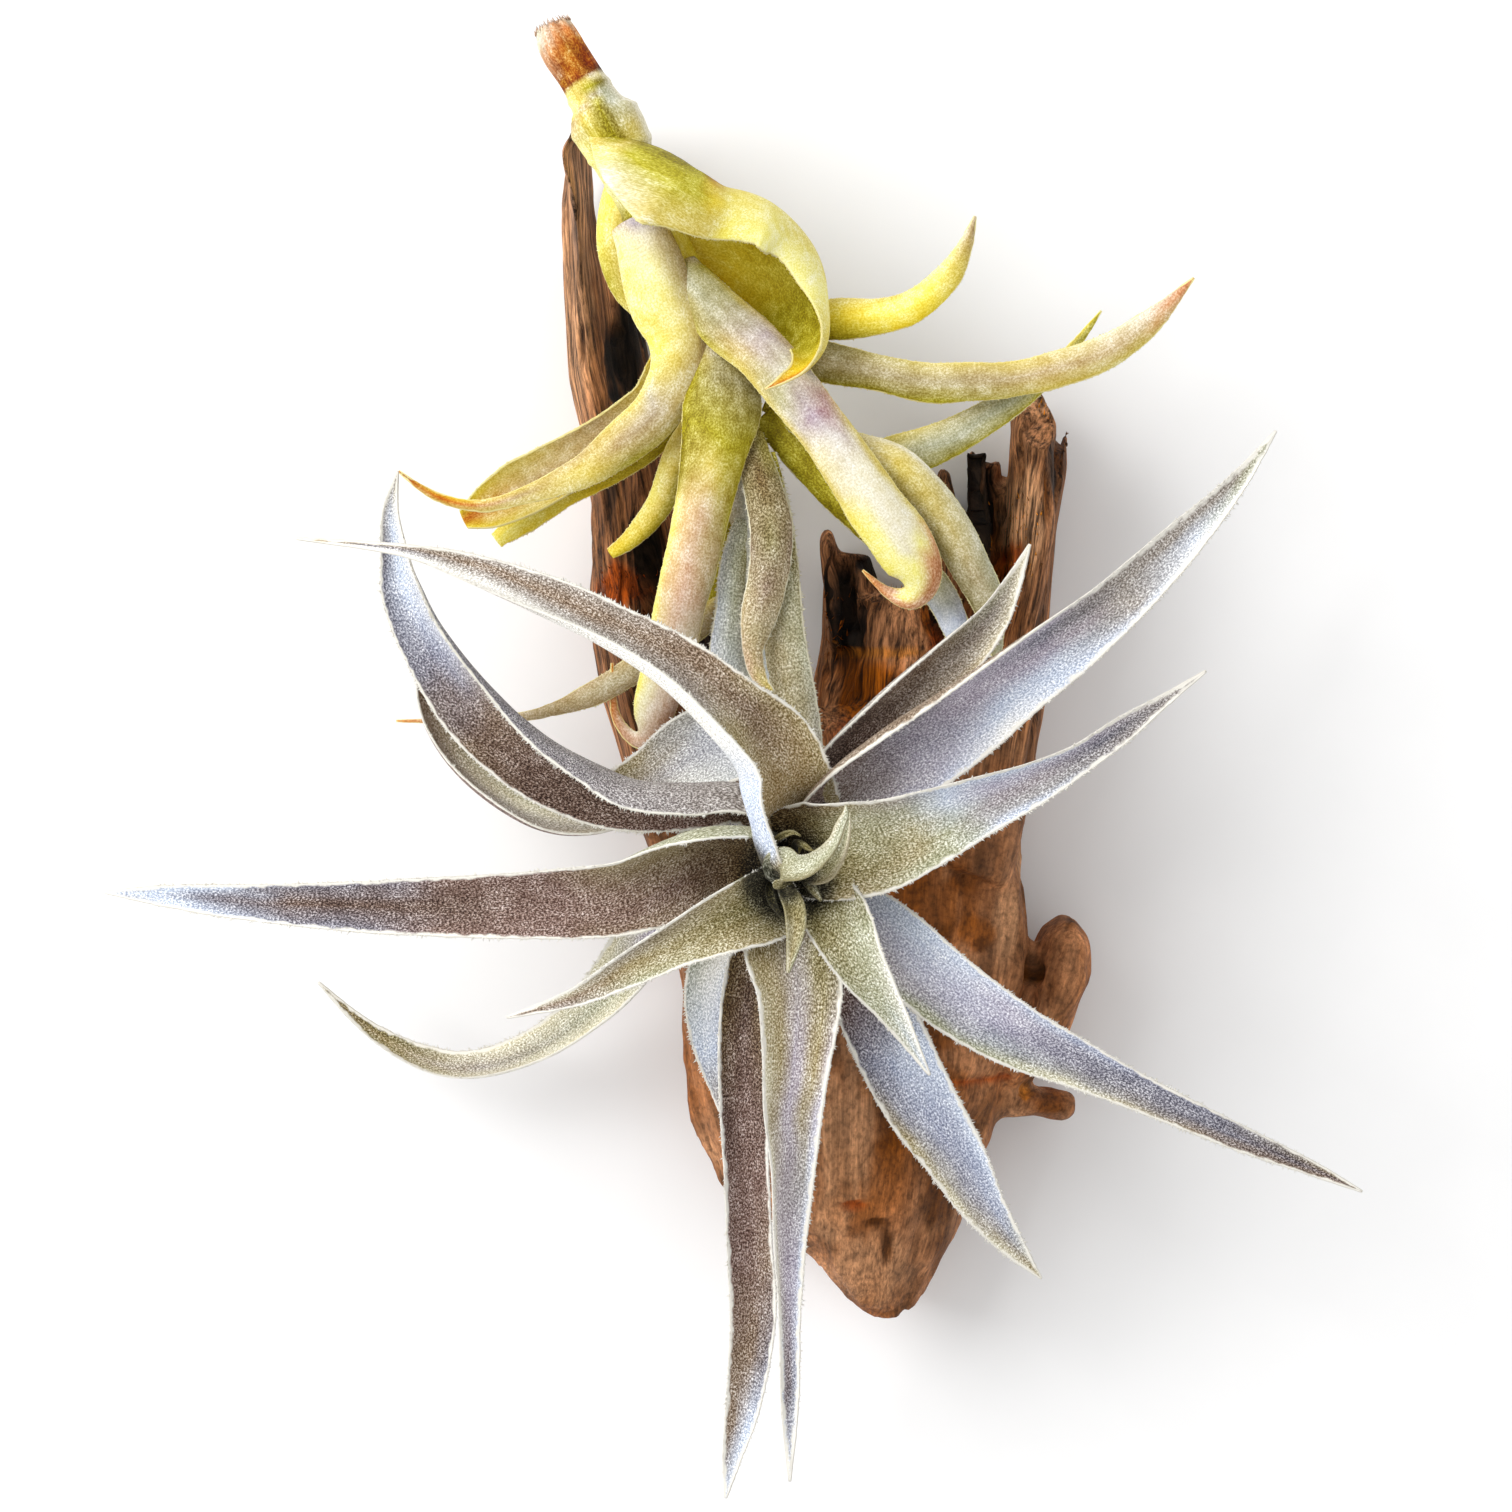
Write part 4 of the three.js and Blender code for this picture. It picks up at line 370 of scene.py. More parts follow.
# Stains and hollows of the wood: x, y, half width, half height, colour, strength and depth of the hollow.
# The near black ones are painted shade in deep hollows and slots
STAINS = """
-37.5 98 3.4 27 tan .75 0, -38 108 1.4 6 dusk .7 .5, -36 72 1.6 14 clay .7 0, -28.5 92 3.8 19 night 1 1.2,
-32 68 1.8 11 night .8 .8, -37 88 1.2 4 brown .8 .7, -34 112 1 9 brown .8 .7, -28 62 1.4 7 clay .6 0,
-25 53 3 8 night 1 1.5, -15 38 3 5 night .9 1, 7.5 41 3.2 12 night 1 2, 15 52 6 3.5 night 1 1.5,
25.5 41 4 5 night .9 1, 32.6 60 3.6 17 night 1 2.2, 44 66 1.4 6 night .9 .8, 36 56 2 9 amber .9 0,
40 78 4 1.8 tan .8 0, 38.5 57 2.4 10 clay .9 -.5, 38 52 1.6 4 orange .9 .4, 42 62 1 5 brown 1 .8,
46 70 1.2 5 brown .9 .6, 17 36 6 7 clay .6 0, 22 31 4 7 clay .5 0, 11 29 8 6 amber 1 0, 9 22 5 3 rust .6 0,
14 35.5 9 1 orange .6 .4, 5.5 27 1.6 6 clay .8 0, 24 37 2 5 rust .8 0, 15.6 41 5 2.5 clay .7 0,
39.3 71.4 2.5 5 clay .5 0, 24.6 -6.8 4 3 clay .9 0, 22.9 -58 3 4 brown .8 0, 29.8 -12 4 3 amber .7 0,
33 -43 4 4 brown .5 0, 38 57 3.5 9.5 tan .9 0, 36 51 2 4 rust .9 0, 39.4 74 3.5 6 clay .7 0,
10.6 -43.5 4 5 clay .6 0, -30 47 5 4 rust 1 0, 22 42 1.5 4 amber .8 0, 33 44 4 8 amber .5 0,
19 -8 12 10 amber .7 0, 25 -12 1.2 1.6 brown .8 .4, 31 -14 2 1 brown .7 .3, 40.5 -19 1.3 2.6 brown 1 1.2,
44 -14 4 5 clay .6 0, 30 -33 7 2.5 clay .9 -.8, 32 -37 6 .8 rust .8 .6, 39.5 -40 .9 1.3 orange .8 .5,
44 -42 2.5 3 amber .7 0, 8 -46 5 12 tan .6 0, 14 -38 1.2 8 brown .7 .5, 13 -69 7 7 tan .4 0,
9.5 -57.5 2.4 .9 rust .9 .9, 13.5 -60.5 2.2 1 brown .9 1, 15 -64 1 3.4 brown .9 1, 24 -60 3 9 brown .8 0,
21 -52 5 3 brown .5 .3, -17 -20 4 20 clay .6 0
"""

# Scales of the noises in the materials, in cells a metre, and radians that the rings of the wood run through
GRAIN_SCALE, CLUMP_SCALE, BLOTCH_SCALE, STREAK_SCALE = 3500, 620, 210, 1300
FIBRE_SCALE, PORE_SCALE, WOOD_BLOTCH_SCALE, RING_SCALE, RING_TURN = 1500, 900, 110, 60, 90
FLOOR_SCALE = 40

# Soft light from the left, and the floor, in metres and watts
KEY_AT = (-0.75, 0.4, 0.8)
KEY_SIZE = 0.8
KEY_POWER = 11.2
WORLD_STRENGTH = 0.77
FLOOR_SIZE = 4
FLOOR_DROP = 0.0003

# The photo looks straight down from 0.6 m and shows 241.92 mm of the plane of the rosette, 60 mm up
CAMERA_AT = (-7, 18, 600)
ROSETTE_HEIGHT = 60
WIDTH_SEEN = 241.92
SENSOR = 36


def table(text):
    """Rows of a table, with its words as numbers apart from names."""
    return [[word if word.isalpha() else float(word) for word in row.split()] for row in text.split(",")]


def leaf_table(text):
    """Name, stations, skin of the back and skin of the face of each leaf."""
    return [[field.strip() for field in block.split("|")] for block in text.split("\n\n")]


PAINT = {name: rgb for name, *rgb in table(PAINTS)}
WOOD_NOISE = {name: (cell, int(seed)) for name, *cell, seed in table(WOOD_NOISES)}


def linear(name):
    """A paint as linear light."""
    share = np.array(PAINT[name]) / 255
    return np.where(share <= 0.04045, share / 12.92, ((share + 0.055) / 1.055) ** 2.4)


def lattice(cell, seed):
    """A fixed value from -1 to 1 for each cell of a grid, mixed from its whole numbers."""
    n = (cell[:, 0] * 73856093) ^ (cell[:, 1] * 19349663) ^ (cell[:, 2] * 83492791) ^ (seed * 40503 + 7919)
    n = ((n ^ (n >> 13)) * 1274126177) & 0xFFFFFFFF
    n = ((n ^ (n >> 15)) * 2246822519) & 0xFFFFFFFF
    return ((n >> 8) & 0xFFFF) / 32767.5 - 1


def noise(points, seed=0):
    """Smooth noise from -1 to 1 at points counted in cells."""
    cell = np.floor(points).astype(np.int64)
    part = points - cell
    ease = part * part * (3 - 2 * part)
    total = np.zeros(len(points))
    for corner in np.ndindex(2, 2, 2):
        weight = np.prod(np.where(corner, ease, 1 - ease), axis=1)
        total += weight * lattice(cell + np.array(corner), seed)
    return total


def line_noise(length, cell, seed):
    """Smooth noise along a line."""
    return noise(np.stack([length / cell, 0 * length + 0.5, 0 * length + 0.5], axis=1), seed)


def unit(vectors):
    return vectors / np.maximum(np.linalg.norm(vectors, axis=-1, keepdims=True), 1e-9)


def smoothstep(low, high, x):
    t = np.clip((x - low) / (high - low), 0, 1)
    return t * t * (3 - 2 * t)


def stations(rows, spacing):
    """Evenly spaced stations on the smooth line through rows, and their lengths along it."""
    rows = np.array(rows, float)
    last = len(rows) - 1

    def at(u):
        i = np.minimum(np.floor(u).astype(int), last - 1)
        t = (u - i)[:, None]
        before, start = rows[np.maximum(i - 1, 0)], rows[i]
        end, after = rows[i + 1], rows[np.minimum(i + 2, last)]
        bend = 2 * before - 5 * start + 4 * end - after
        twist = 3 * start - before - 3 * end + after
        return (2 * start + (end - before) * t + bend * t**2 + twist * t**3) / 2

    u = np.linspace(0, last, last * 24 + 1)
    steps = np.linalg.norm(np.diff(at(u)[:, :3], axis=0), axis=1)
    length = np.concatenate([[0], np.cumsum(steps)])
    even = np.linspace(0, length[-1], int(np.ceil(length[-1] / spacing)) + 1)
    return at(np.interp(even, length, u)), even


def frames(points, spacing):
    """Direction along a line, its right hand side and its upper side, evened out over a few millimetres."""
    along = unit(np.gradient(points, axis=0))
    reach = max(int(1.5 / spacing), 1)
    padded = np.pad(along, ((reach, reach), (0, 0)), mode="edge")
    along = unit(sum(padded[k:k + len(along)] for k in range(2 * reach + 1)))
    up = unit(np.array([0, 0, 1.0]) - along[:, 2:] * along)
    return along, np.cross(along, up), up


def spread_colours(names):
    """Colours named from left to right, as COLUMNS evenly spaced ones."""
    colours = np.array([linear(name) for name in names])
    at = np.linspace(0, len(names) - 1, COLUMNS)
    return np.stack([np.interp(at, range(len(names)), colours[:, channel]) for channel in range(3)], axis=1)


def painted(skin, u, s):
    """Colour of a skin at each share u along and s across, from -1 on the left to 1 on the right."""
    stops = [stop.split() for stop in skin.split(";")]
    places = [float(stop[0]) for stop in stops]
    colours = np.array([spread_colours(stop[1:]) for stop in stops])
    rows = np.empty((len(u), COLUMNS, 3))
    for column, channel in np.ndindex(COLUMNS, 3):
        rows[:, column, channel] = np.interp(u, places, colours[:, column, channel])
    at = (np.clip(s, -1, 1) + 1) / 2 * (COLUMNS - 1)
    first = np.minimum(at.astype(int), COLUMNS - 2)
    share = smoothstep(0, 1, at - first)[:, None]
    line = np.arange(len(u))
    return rows[line, first] * (1 - share) + rows[line, first + 1] * share


def tube_faces(count, around):
    """Quads of a closed tube of rings and across both its ends."""
    i, k = np.meshgrid(np.arange(count - 1), np.arange(around), indexing="ij")
    a, b = i * around + k, i * around + (k + 1) % around
    sides = np.stack([a, b, b + around, a + around], axis=-1).reshape(-1, 4)
    last = (count - 1) * around
    ends = []
    for k in range((around - 1) // 2):
        a, b, c, d = k, k + 1, around - 2 - k, around - 1 - k
        ends += [(a, d, c, b), (last + a, last + b, last + c, last + d)]
    return np.concatenate([sides[:, ::-1], np.array(ends)[:, ::-1]]).tolist()


def painted_hollow_shade(points):
    """Share of the painted shade between the young leaves, deep in the heart of the rosette."""
    away = np.linalg.norm(points[:, :2] - HEART_AT, axis=1)
    return smoothstep(*HOLLOW_RADII, away) * smoothstep(*HOLLOW_HEIGHTS, points[:, 2])


def blade(name, line, back_skin, face_skin, seed):
    """Shape of one leaf, and its margins for the fringe."""
    rows = table(line)
    middle, length = stations(rows, STATION_SPACING)
    points, width = middle[:, :3], np.maximum(middle[:, 3], NARROWEST_TIP)
    along, side, up = frames(points, STATION_SPACING)
    cos_roll, sin_roll = np.cos(np.radians(middle[:, 4:5])), np.sin(np.radians(middle[:, 4:5]))
    bend = -1 if rows[0][5] < 0 else 1
    cup = np.radians(np.maximum(np.abs(middle[:, 5]), FLATTEST_CUP))

    # Radius and centre of the channel that give the leaf its width as seen from above
    turn = cup[:, None] * np.linspace(-1, 1, REACH_STEPS)
    extent = np.sin(turn) * cos_roll + bend * (1 - np.cos(turn)) * sin_roll
    low, high = extent.min(1), extent.max(1)
    radius = np.maximum(width - EDGE_THICKNESS / 2, NARROWEST_TIP) / (high - low)
    centre = points - side * (radius * (low + high) / 2)[:, None]
    across = side * cos_roll - up * sin_roll
    facing = up * cos_roll + side * sin_roll
    rib = np.clip(width * RIB_THICKNESS_OF_WIDTH, RIB_THICKNESS_MIN, RIB_THICKNESS_MAX)
    rib = np.minimum(rib, width * RIB_OF_NARROW)

    # Ragged and rippled margins
    s = np.array(SHARES_ACROSS)
    half_arc = cup * radius
    lumps = OLD_LUMPS if name.startswith("old_") else YOUNG_LUMPS
    ragged = [RAGGED * line_noise(length, RAG_LENGTH, seed + k)
              + lumps * line_noise(length, LUMP_LENGTH, seed + k + 2) for k in (0, 1)]
    edge = np.where(s < 0, ragged[0][:, None], ragged[1][:, None]) * np.abs(s) ** 8
    angle = cup[:, None] * (s * (1 + edge / np.maximum(half_arc, 1)[:, None]))
    ripple = [line_noise(length, RIPPLE_LENGTH, seed + k) for k in (4, 5)]
    ripple = np.where(s < 0, ripple[0][:, None], ripple[1][:, None]) * np.abs(s) ** 3
    lift = RIPPLE_OF_WIDTH * np.minimum(width, WIDEST_RIPPLED)[:, None] * ripple

    # Face and back, with fine grooves along the face
    normal = facing[:, None] * np.cos(angle)[..., None] - across[:, None] * (bend * np.sin(angle))[..., None]
    skin = (centre[:, None] + across[:, None] * (radius[:, None] * np.sin(angle))[..., None]
            + facing[:, None] * (bend * radius[:, None] * (1 - np.cos(angle)))[..., None]
            + normal * lift[..., None])
    thick = np.minimum(EDGE_THICKNESS, width * EDGE_OF_NARROW)[:, None]
    half = (thick + (rib[:, None] - thick).clip(0) * (1 - s * s)) / 2
    arc = half_arc[:, None] * s
    groove_at = np.stack([arc / GROOVE_WIDTH, np.repeat(length[:, None] / GROOVE_LENGTH, len(s), 1),
                          0 * arc + seed], axis=-1)
    groove = noise(groove_at.reshape(-1, 3), seed).reshape(arc.shape) * GROOVE_DEPTH
    face = skin + normal * (half + groove)[..., None]
    back = skin - normal * half[..., None]
    around = 2 * len(s)
    points = np.concatenate([face, back[:, ::-1]], axis=1).reshape(-1, 3)

    # Colours, and the distance to the margin that the lace follows
    flat_u = np.repeat(length / length[-1], around)
    flat_s = np.tile(np.concatenate([s, s[::-1]]), len(length))
    flat_back = np.tile(np.repeat([0, 1], len(s)), len(length))
    flat_arc = np.repeat(half_arc, around)
    wander_at = np.stack([flat_s * WANDER_SHARE, flat_u * length[-1] / WANDER_LENGTH, flat_back], axis=1)
    wander = COLOUR_WANDER * noise(wander_at, seed + 8)
    at = flat_u + WANDER_ALONG * wander, flat_s + wander
    tint = np.where(flat_back[:, None] > 0, painted(back_skin, *at), painted(face_skin, *at))
    # Painted shade: the leaves darken deep in the heart, and take no lace there
    dark = painted_hollow_shade(points)
    to_margin = flat_arc * (1 - np.abs(flat_s)) / BROAD_LACE.get(name, 1)
    shape = {"points": points, "faces": tube_faces(len(length), around),
             "tint": tint * (1 - HOLLOW_PAINTED_SHADE * dark)[:, None],
             "blade": np.stack([flat_arc * flat_s + BACK_SHIFT * flat_back, flat_u * length[-1],
                                0 * flat_u + SEED_SHIFT * seed], axis=1),
             "edge": to_margin + DEEP * (1 - smoothstep(*BARE_ROOT, flat_u)) + DEEP * dark}
    out = [sign * (across * np.cos(angle[:, k])[:, None] + facing * (bend * np.sin(angle[:, k]))[:, None])
           for sign, k in ((-1, 0), (1, -1))]
    margins = {"at": skin[:, [0, -1]], "normal": normal[:, [0, -1]], "along": along,
               "out": np.stack(out, axis=1), "length": length, "width": width}
    return shape, margins


def fringe(margins, seed, longest, spacing=FRINGE_SPACING):
    """Small pointed scales along both margins of a leaf."""
    rng = np.random.default_rng(seed)
    length = margins["length"]
    count = int(length[-1] / spacing)
    parts = []
    for k in (0, 1):
        where = np.sort(rng.uniform(0, length[-1] * 0.995, count))

        def pick(values):
            return np.stack([np.interp(where, length, values[:, c]) for c in range(3)], axis=1)

        at, out = pick(margins["at"][:, k]), unit(pick(margins["out"][:, k]))
        along, normal = pick(margins["along"]), unit(pick(margins["normal"][:, k]))
        slim = np.clip(np.interp(where, length, margins["width"]) / FRINGE_WIDTH_WHOLE, 0.3, 1)[:, None]
        size = (FRINGE_SHORTEST + (longest - FRINGE_SHORTEST) * rng.random(count) ** 2.5)[:, None] * slim
        lean, rise = rng.uniform(*FRINGE_LEAN, (count, 1)), rng.uniform(*FRINGE_RISE, (count, 1))
        foot = rng.uniform(*FRINGE_FOOT, (count, 1)) * slim
        tip = at + out * size + along * lean * size + normal * rise * size
        white = np.ones((4 * count, 3))
        parts.append(spikes(at - out * 0.1, along * foot, normal * foot * 0.7, tip, white, 0))
    return parts


def spikes(root, wide, tall, tip, tint, edge):
    """Closed three-sided spikes from a root to a tip."""
    points = np.stack([root - wide, root + wide, root + tall, tip], axis=1).reshape(-1, 3)
    first = np.arange(len(root))[:, None, None] * 4
    faces = first + np.array([(0, 1, 3), (1, 2, 3), (2, 0, 3), (0, 2, 1)])
    return {"points": points, "faces": faces.reshape(-1, 3).tolist(), "tint": tint, "blade": points,
            "edge": np.full(len(points), edge)}


def joined(name, parts):
    """One smooth mesh object from parts. Their points, blade and edge are in millimetres."""
    faces, start = [], 0
    for part in parts:
        faces += [[k + start for k in face] for face in part["faces"]]
        start += len(part["points"])
    points, tint, place, edge = (np.concatenate([part[key] for part in parts])
                                 for key in ("points", "tint", "blade", "edge"))
    mesh = bpy.data.meshes.new(name)
    mesh.from_pydata((points * MM).tolist(), [], faces)
    mesh.polygons.foreach_set("use_smooth", [True] * len(mesh.polygons))
    tint = np.concatenate([tint, np.ones((len(tint), 1))], axis=1)
    for key, kind, field, values in (("tint", "FLOAT_COLOR", "color", tint),
                                     ("blade", "FLOAT_VECTOR", "vector", place * MM),
                                     ("edge", "FLOAT", "value", edge)):
        layer = mesh.attributes.new(key, kind, "POINT")
        layer.data.foreach_set(field, values.astype(np.float32).ravel())
    mesh.validate()
    mesh.update()
    thing = bpy.data.objects.new(name, mesh)
    bpy.context.collection.objects.link(thing)
    return thing


def leaf(name, texts, seed):
    shape, margins = blade(name, *texts, seed)
    longest = OLD_FRINGE_LONGEST if name.startswith("old_") else FRINGE_LONGEST
    return joined(name + "_grown", [shape, *fringe(margins, seed, longest)])


def rod(text, spacing, sides):
    """A round bar: its lengths and angles, and for each point the middle, the way out and the radius."""
    middle, length = stations(table(text), spacing)
    along, side, up = frames(middle[:, :3], spacing)
    angle = -np.linspace(0, 2 * np.pi, sides, endpoint=False)
    out = side[:, None] * np.cos(angle)[:, None] + up[:, None] * np.sin(angle)[:, None]
    repeated = np.repeat(middle, sides, 0)
    return length, angle, repeated[:, :3], out.reshape(-1, 3), repeated[:, 3]


def stem():
    """The bare stem, with the scars of fallen leaves, an old collar and a fibrous cut end."""
    length, angle, middle, out, radius = rod(STEM, STEM_SPACING, STEM_SIDES)
    count = len(length)
    grid_length = np.repeat(length, STEM_SIDES)
    grid_angle = np.tile(angle, count)
    cut = 1 - smoothstep(*CUT_END, grid_length)
    rings = np.sin(grid_length * SCAR_TURN + 0.5 * np.sin(grid_angle))
    scars = SCAR_DEPTH * np.maximum(0, rings) ** 3 * (1 - cut)
    around = np.stack([np.cos(grid_angle) * 3, np.sin(grid_angle) * 3, grid_length / 9], axis=1)
    fibres = noise(around * (2.2, 2.2, 1), 11)
    bulk = noise(around * (0.5, 0.5, 0.8), 12)
    rim = grid_length + 1.3 * np.sin(2 * grid_angle) + 0.8 * noise(around * 2, 13)
    collar = COLLAR_HEIGHT * smoothstep(*COLLAR_RIM, rim) * (1 - smoothstep(*COLLAR_FADE, rim))
    relief = scars + collar + 0.3 * bulk + fibres * (0.1 + 0.45 * cut)
    points = middle + out * (radius - STEM_INSET + relief)[:, None]
    u = grid_length / length[-1]
    tint = painted(STEM_SKIN, u, np.cos(grid_angle))
    # Painted shade between the fibres of the cut end, where they sink
    tint = tint * (1 - 0.35 * cut * np.maximum(0, -fibres))[:, None]
    shape = {"points": points, "faces": tube_faces(count, STEM_SIDES), "tint": tint,
             "edge": np.full(len(points), DEEP),
             "blade": np.stack([grid_angle * 4.5, grid_length, 0 * u], axis=1)}
    return joined("stem_grown", [shape, cut_fibres(points[STEM_SIDES:2 * STEM_SIDES], points[:STEM_SIDES])])


def cut_fibres(inner, outer):
    """Broken fibres that stand round the rim of the cut end."""
    rng = np.random.default_rng(5)
    at_root, at_tip = CUT_FIBRE_JITTER
    root = np.concatenate([outer] * 3) + rng.normal(0, at_root, (3 * len(outer), 3))
    along = np.concatenate([unit(outer - inner)] * 3)
    length = rng.uniform(*CUT_FIBRE_LENGTH, (len(root), 1))
    tip = root + along * length + rng.normal(0, at_tip, root.shape)
    side = unit(np.cross(along, (0, 0, 1.0))) * CUT_FIBRE_HALF_WIDTH
    shade = rng.uniform(0.7, 1, (len(root), 1)).repeat(4, axis=0)
    return spikes(root - 0.3 * along, side, np.cross(side, along), tip, linear("pink") * shade, DEEP)


def heart():
    """The young leaves in the middle of the rosette, and the bud that they stand on, painted near black as
    shade.
    """
    parts = []
    for k, (name, *texts) in enumerate(leaf_table(HEART_LEAVES)):
        shape, margins = blade(name, *texts, HEART_SEED + SEED_STEP * k)
        shape["edge"] = shape["edge"] + HEART_EDGE
        parts += [shape, *fringe(margins, HEART_SEED + k, HEART_FRINGE_LONGEST, HEART_FRINGE_SPACING)]
    length, _, middle, out, radius = rod(BUD, BUD_SPACING, BUD_SIDES)
    points = middle + out * radius[:, None]
    # The bud is painted near black: painted shade deep in the heart
    parts.append({"points": points, "faces": tube_faces(len(length), BUD_SIDES), "blade": points,
                  "tint": np.tile(linear("night"), (len(points), 1)), "edge": np.full(len(points), DEEP)})
    return joined("heart_leaves_grown", parts)


def waves(points, name):
    cell, seed = WOOD_NOISE[name]
    return noise(points / cell, seed)


def fine_wood():
    """Points, normals and faces of the CAD driftwood with finer, softer faces."""
    base = bpy.data.objects.new("driftwood_grown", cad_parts["driftwood"].data.copy())
    bpy.context.collection.objects.link(base)
    base.data.materials.clear()
    remesh = base.modifiers.new("fine", "REMESH")
    remesh.mode, remesh.voxel_size = "VOXEL", WOOD_VOXEL * MM
    soften = base.modifiers.new("soft", "SMOOTH")
    soften.factor, soften.iterations = 0.6, 6
    bpy.context.view_layer.update()
    fine = bpy.data.meshes.new_from_object(base.evaluated_get(bpy.context.evaluated_depsgraph_get()))
    bpy.data.objects.remove(base)
    co, normal = np.empty((2, len(fine.vertices) * 3), np.float32)
    fine.vertices.foreach_get("co", co)
    fine.vertices.foreach_get("normal", normal)
    faces = [list(face.vertices) for face in fine.polygons]
    return co.reshape(-1, 3).astype(float) / MM, normal.reshape(-1, 3).astype(float), faces


def splinters(co, normal):
    """Pointed splinters that stand on the torn places, along the grain."""
    rng = np.random.default_rng(77)
    parts = []
    for x_low, y_low, x_high, y_high, tall, name in table(TORN):
        inside = (co[:, 0] > x_low) & (co[:, 0] < x_high) & (co[:, 1] > y_low) & (co[:, 1] < y_high)
        rows = np.nonzero(inside & (normal[:, 2] > -0.1) & (co[:, 2] > SPLINTER_LOWEST))[0]
        count = int(SPLINTERS * (x_high - x_low) * (y_high - y_low))
        rows = rng.choice(rows, min(len(rows), count), replace=False)
        root, out = co[rows], normal[rows]
        grain = unit(np.stack([root[:, 0] - GRAIN_FAN[0], root[:, 1] - GRAIN_FAN[1], 0 * rows], axis=1))
        grain = grain * rng.choice([-1, 1], (len(rows), 1), p=[0.3, 0.7])
        size = rng.uniform(*SPLINTER_SIZE, (len(rows), 1)) * tall
        lift = out * rng.uniform(*SPLINTER_LIFT, (len(rows), 1))
        lean = unit(grain + lift + rng.normal(0, 0.18, (len(rows), 3)))
        wide = unit(np.cross(grain, out)) * rng.uniform(*SPLINTER_WIDE, (len(rows), 1))
        shade = rng.uniform(*SPLINTER_SHADE, (len(rows), 1)).repeat(4, axis=0)
        parts.append(spikes(root - out * 0.3, wide, out * 0.25 + 0.1 * grain, root + lean * size,
                            linear(name) * shade, 1))
    return parts


def wood_colours(co, raw, broad, ridge, thread, lump, dimple):
    """Colours of the torn and of the worn wood, mixed by how raw it is."""
    tone = np.clip(0.58 + 0.15 * broad + 0.25 * ridge + 0.35 * thread, 0, 1)[:, None]
    torn = linear("brown") * 0.7 * (1 - tone) + linear("clay") * tone
    patch = np.clip(0.5 + 0.55 * lump + 0.3 * waves(co, "patch") + 0.15 * dimple, 0, 1)[:, None]
    worn = linear("brown") * 1.25 * (1 - patch) + linear("clay") * patch
    worn = worn * (0.85 + 0.35 * waves(co, "fleck") + 0.35 * waves(co, "cloud"))[:, None]
    pale = smoothstep(0.1, 0.6, waves(co, "pale"))[:, None] * 0.55
    worn = worn * (1 - pale) + linear("tan") * pale
    warm = smoothstep(0, 0.6, waves(co, "warm"))[:, None] * 0.6
    worn = worn * (1 - warm) + linear("amber") * (0.7 + 0.3 * patch) * warm
    return worn + (torn - worn) * raw[:, None]


def driftwood():
    """The driftwood: torn and fibrous at the top, worn smooth below, with hollows, stains, painted shade and
    splinters.
    """
    co, normal, faces = fine_wood()
    dx, dy = co[:, 0] - GRAIN_FAN[0], co[:, 1] - GRAIN_FAN[1]
    along = np.hypot(dx, dy)
    across = np.arctan2(dx, dy) * GRAIN_RADIUS
    wander = GRAIN_WANDER * waves(np.stack([across, along, co[:, 2]], axis=1), "wander")
    grain = np.stack([across + wander, along, co[:, 2] + wander], axis=1)
    raw = smoothstep(*TORN_FROM, co[:, 1] + 4 * waves(co, "border"))
    broad, ridge, thread = (waves(grain, name) for name in ("broad", "ridge", "thread"))
    lump, dimple = waves(co, "lump"), waves(co, "dimple")
    crack = np.maximum(0, 1 - np.abs(waves(grain, "crack")) * 8)
    crack *= smoothstep(-0.3, 0.3, waves(grain, "cracked"))
    relief = (raw * (0.6 * broad + 0.5 * ridge + 0.34 * thread - 1.1 * crack)
              + (1 - raw) * (1.2 * lump + 0.2 * dimple + 0.15 * ridge - 0.45 * crack))
    tint = wood_colours(co, raw, broad, ridge, thread, lump, dimple)
    # The cracks are sunk and darkened: painted shade in them, most on the torn wood
    tint = tint * (1 - 0.8 * crack * (0.3 + 0.7 * raw))[:, None]
    top = smoothstep(-0.2, 0.4, normal[:, 2])
    # Stains of the wood, and painted shade in the deep hollows
    for x, y, half_x, half_y, name, strength, depth in table(STAINS):
        away = np.hypot((co[:, 0] - x) / half_x, (co[:, 1] - y) / half_y)
        away = away + 0.22 * waves(grain, "stained") + 0.15 * waves(co, "stain")
        share = strength * (1 - smoothstep(0.6, 1.25, away))
        relief -= depth * share * top
        tint = tint * (1 - share[:, None]) + linear(name) * (0.85 + 0.3 * ridge[:, None]) * share[:, None]
    level = smoothstep(0.4, 3, co[:, 2])
    shaped = co + normal * ((relief - 0.35) * level)[:, None]
    shaped[:, 2] = np.maximum(shaped[:, 2], 0)
    parts = [{"points": shaped, "faces": faces, "tint": tint, "blade": grain, "edge": raw}]
    parts += splinters(shaped, normal)
    for part in parts:
        part["tint"] = np.clip(part["tint"], 0.002, 1)
    return joined("driftwood_grown", parts)


def feed(tree, socket, value):
    """Set a socket to a number or colour, or link another socket to it."""
    if isinstance(value, bpy.types.NodeSocket):
        tree.links.new(value, socket)
    else:
        socket.default_value = value


def node(tree, kind, inputs, **settings):
    """A shader node with its settings and inputs. Its kind is told without ShaderNode."""
    made = tree.nodes.new("ShaderNode" + kind)
    for key, value in settings.items():
        setattr(made, key, value)
    for key, value in inputs.items():
        feed(tree, made.inputs[key], value)
    return made


def attribute(tree, name, output="Vector"):
    """A value that the points of the mesh carry."""
    return node(tree, "Attribute", {}, attribute_name=name).outputs[output]


def stretched(tree, place, scale):
    return node(tree, "Mapping", {"Vector": place, "Scale": scale}).outputs["Vector"]


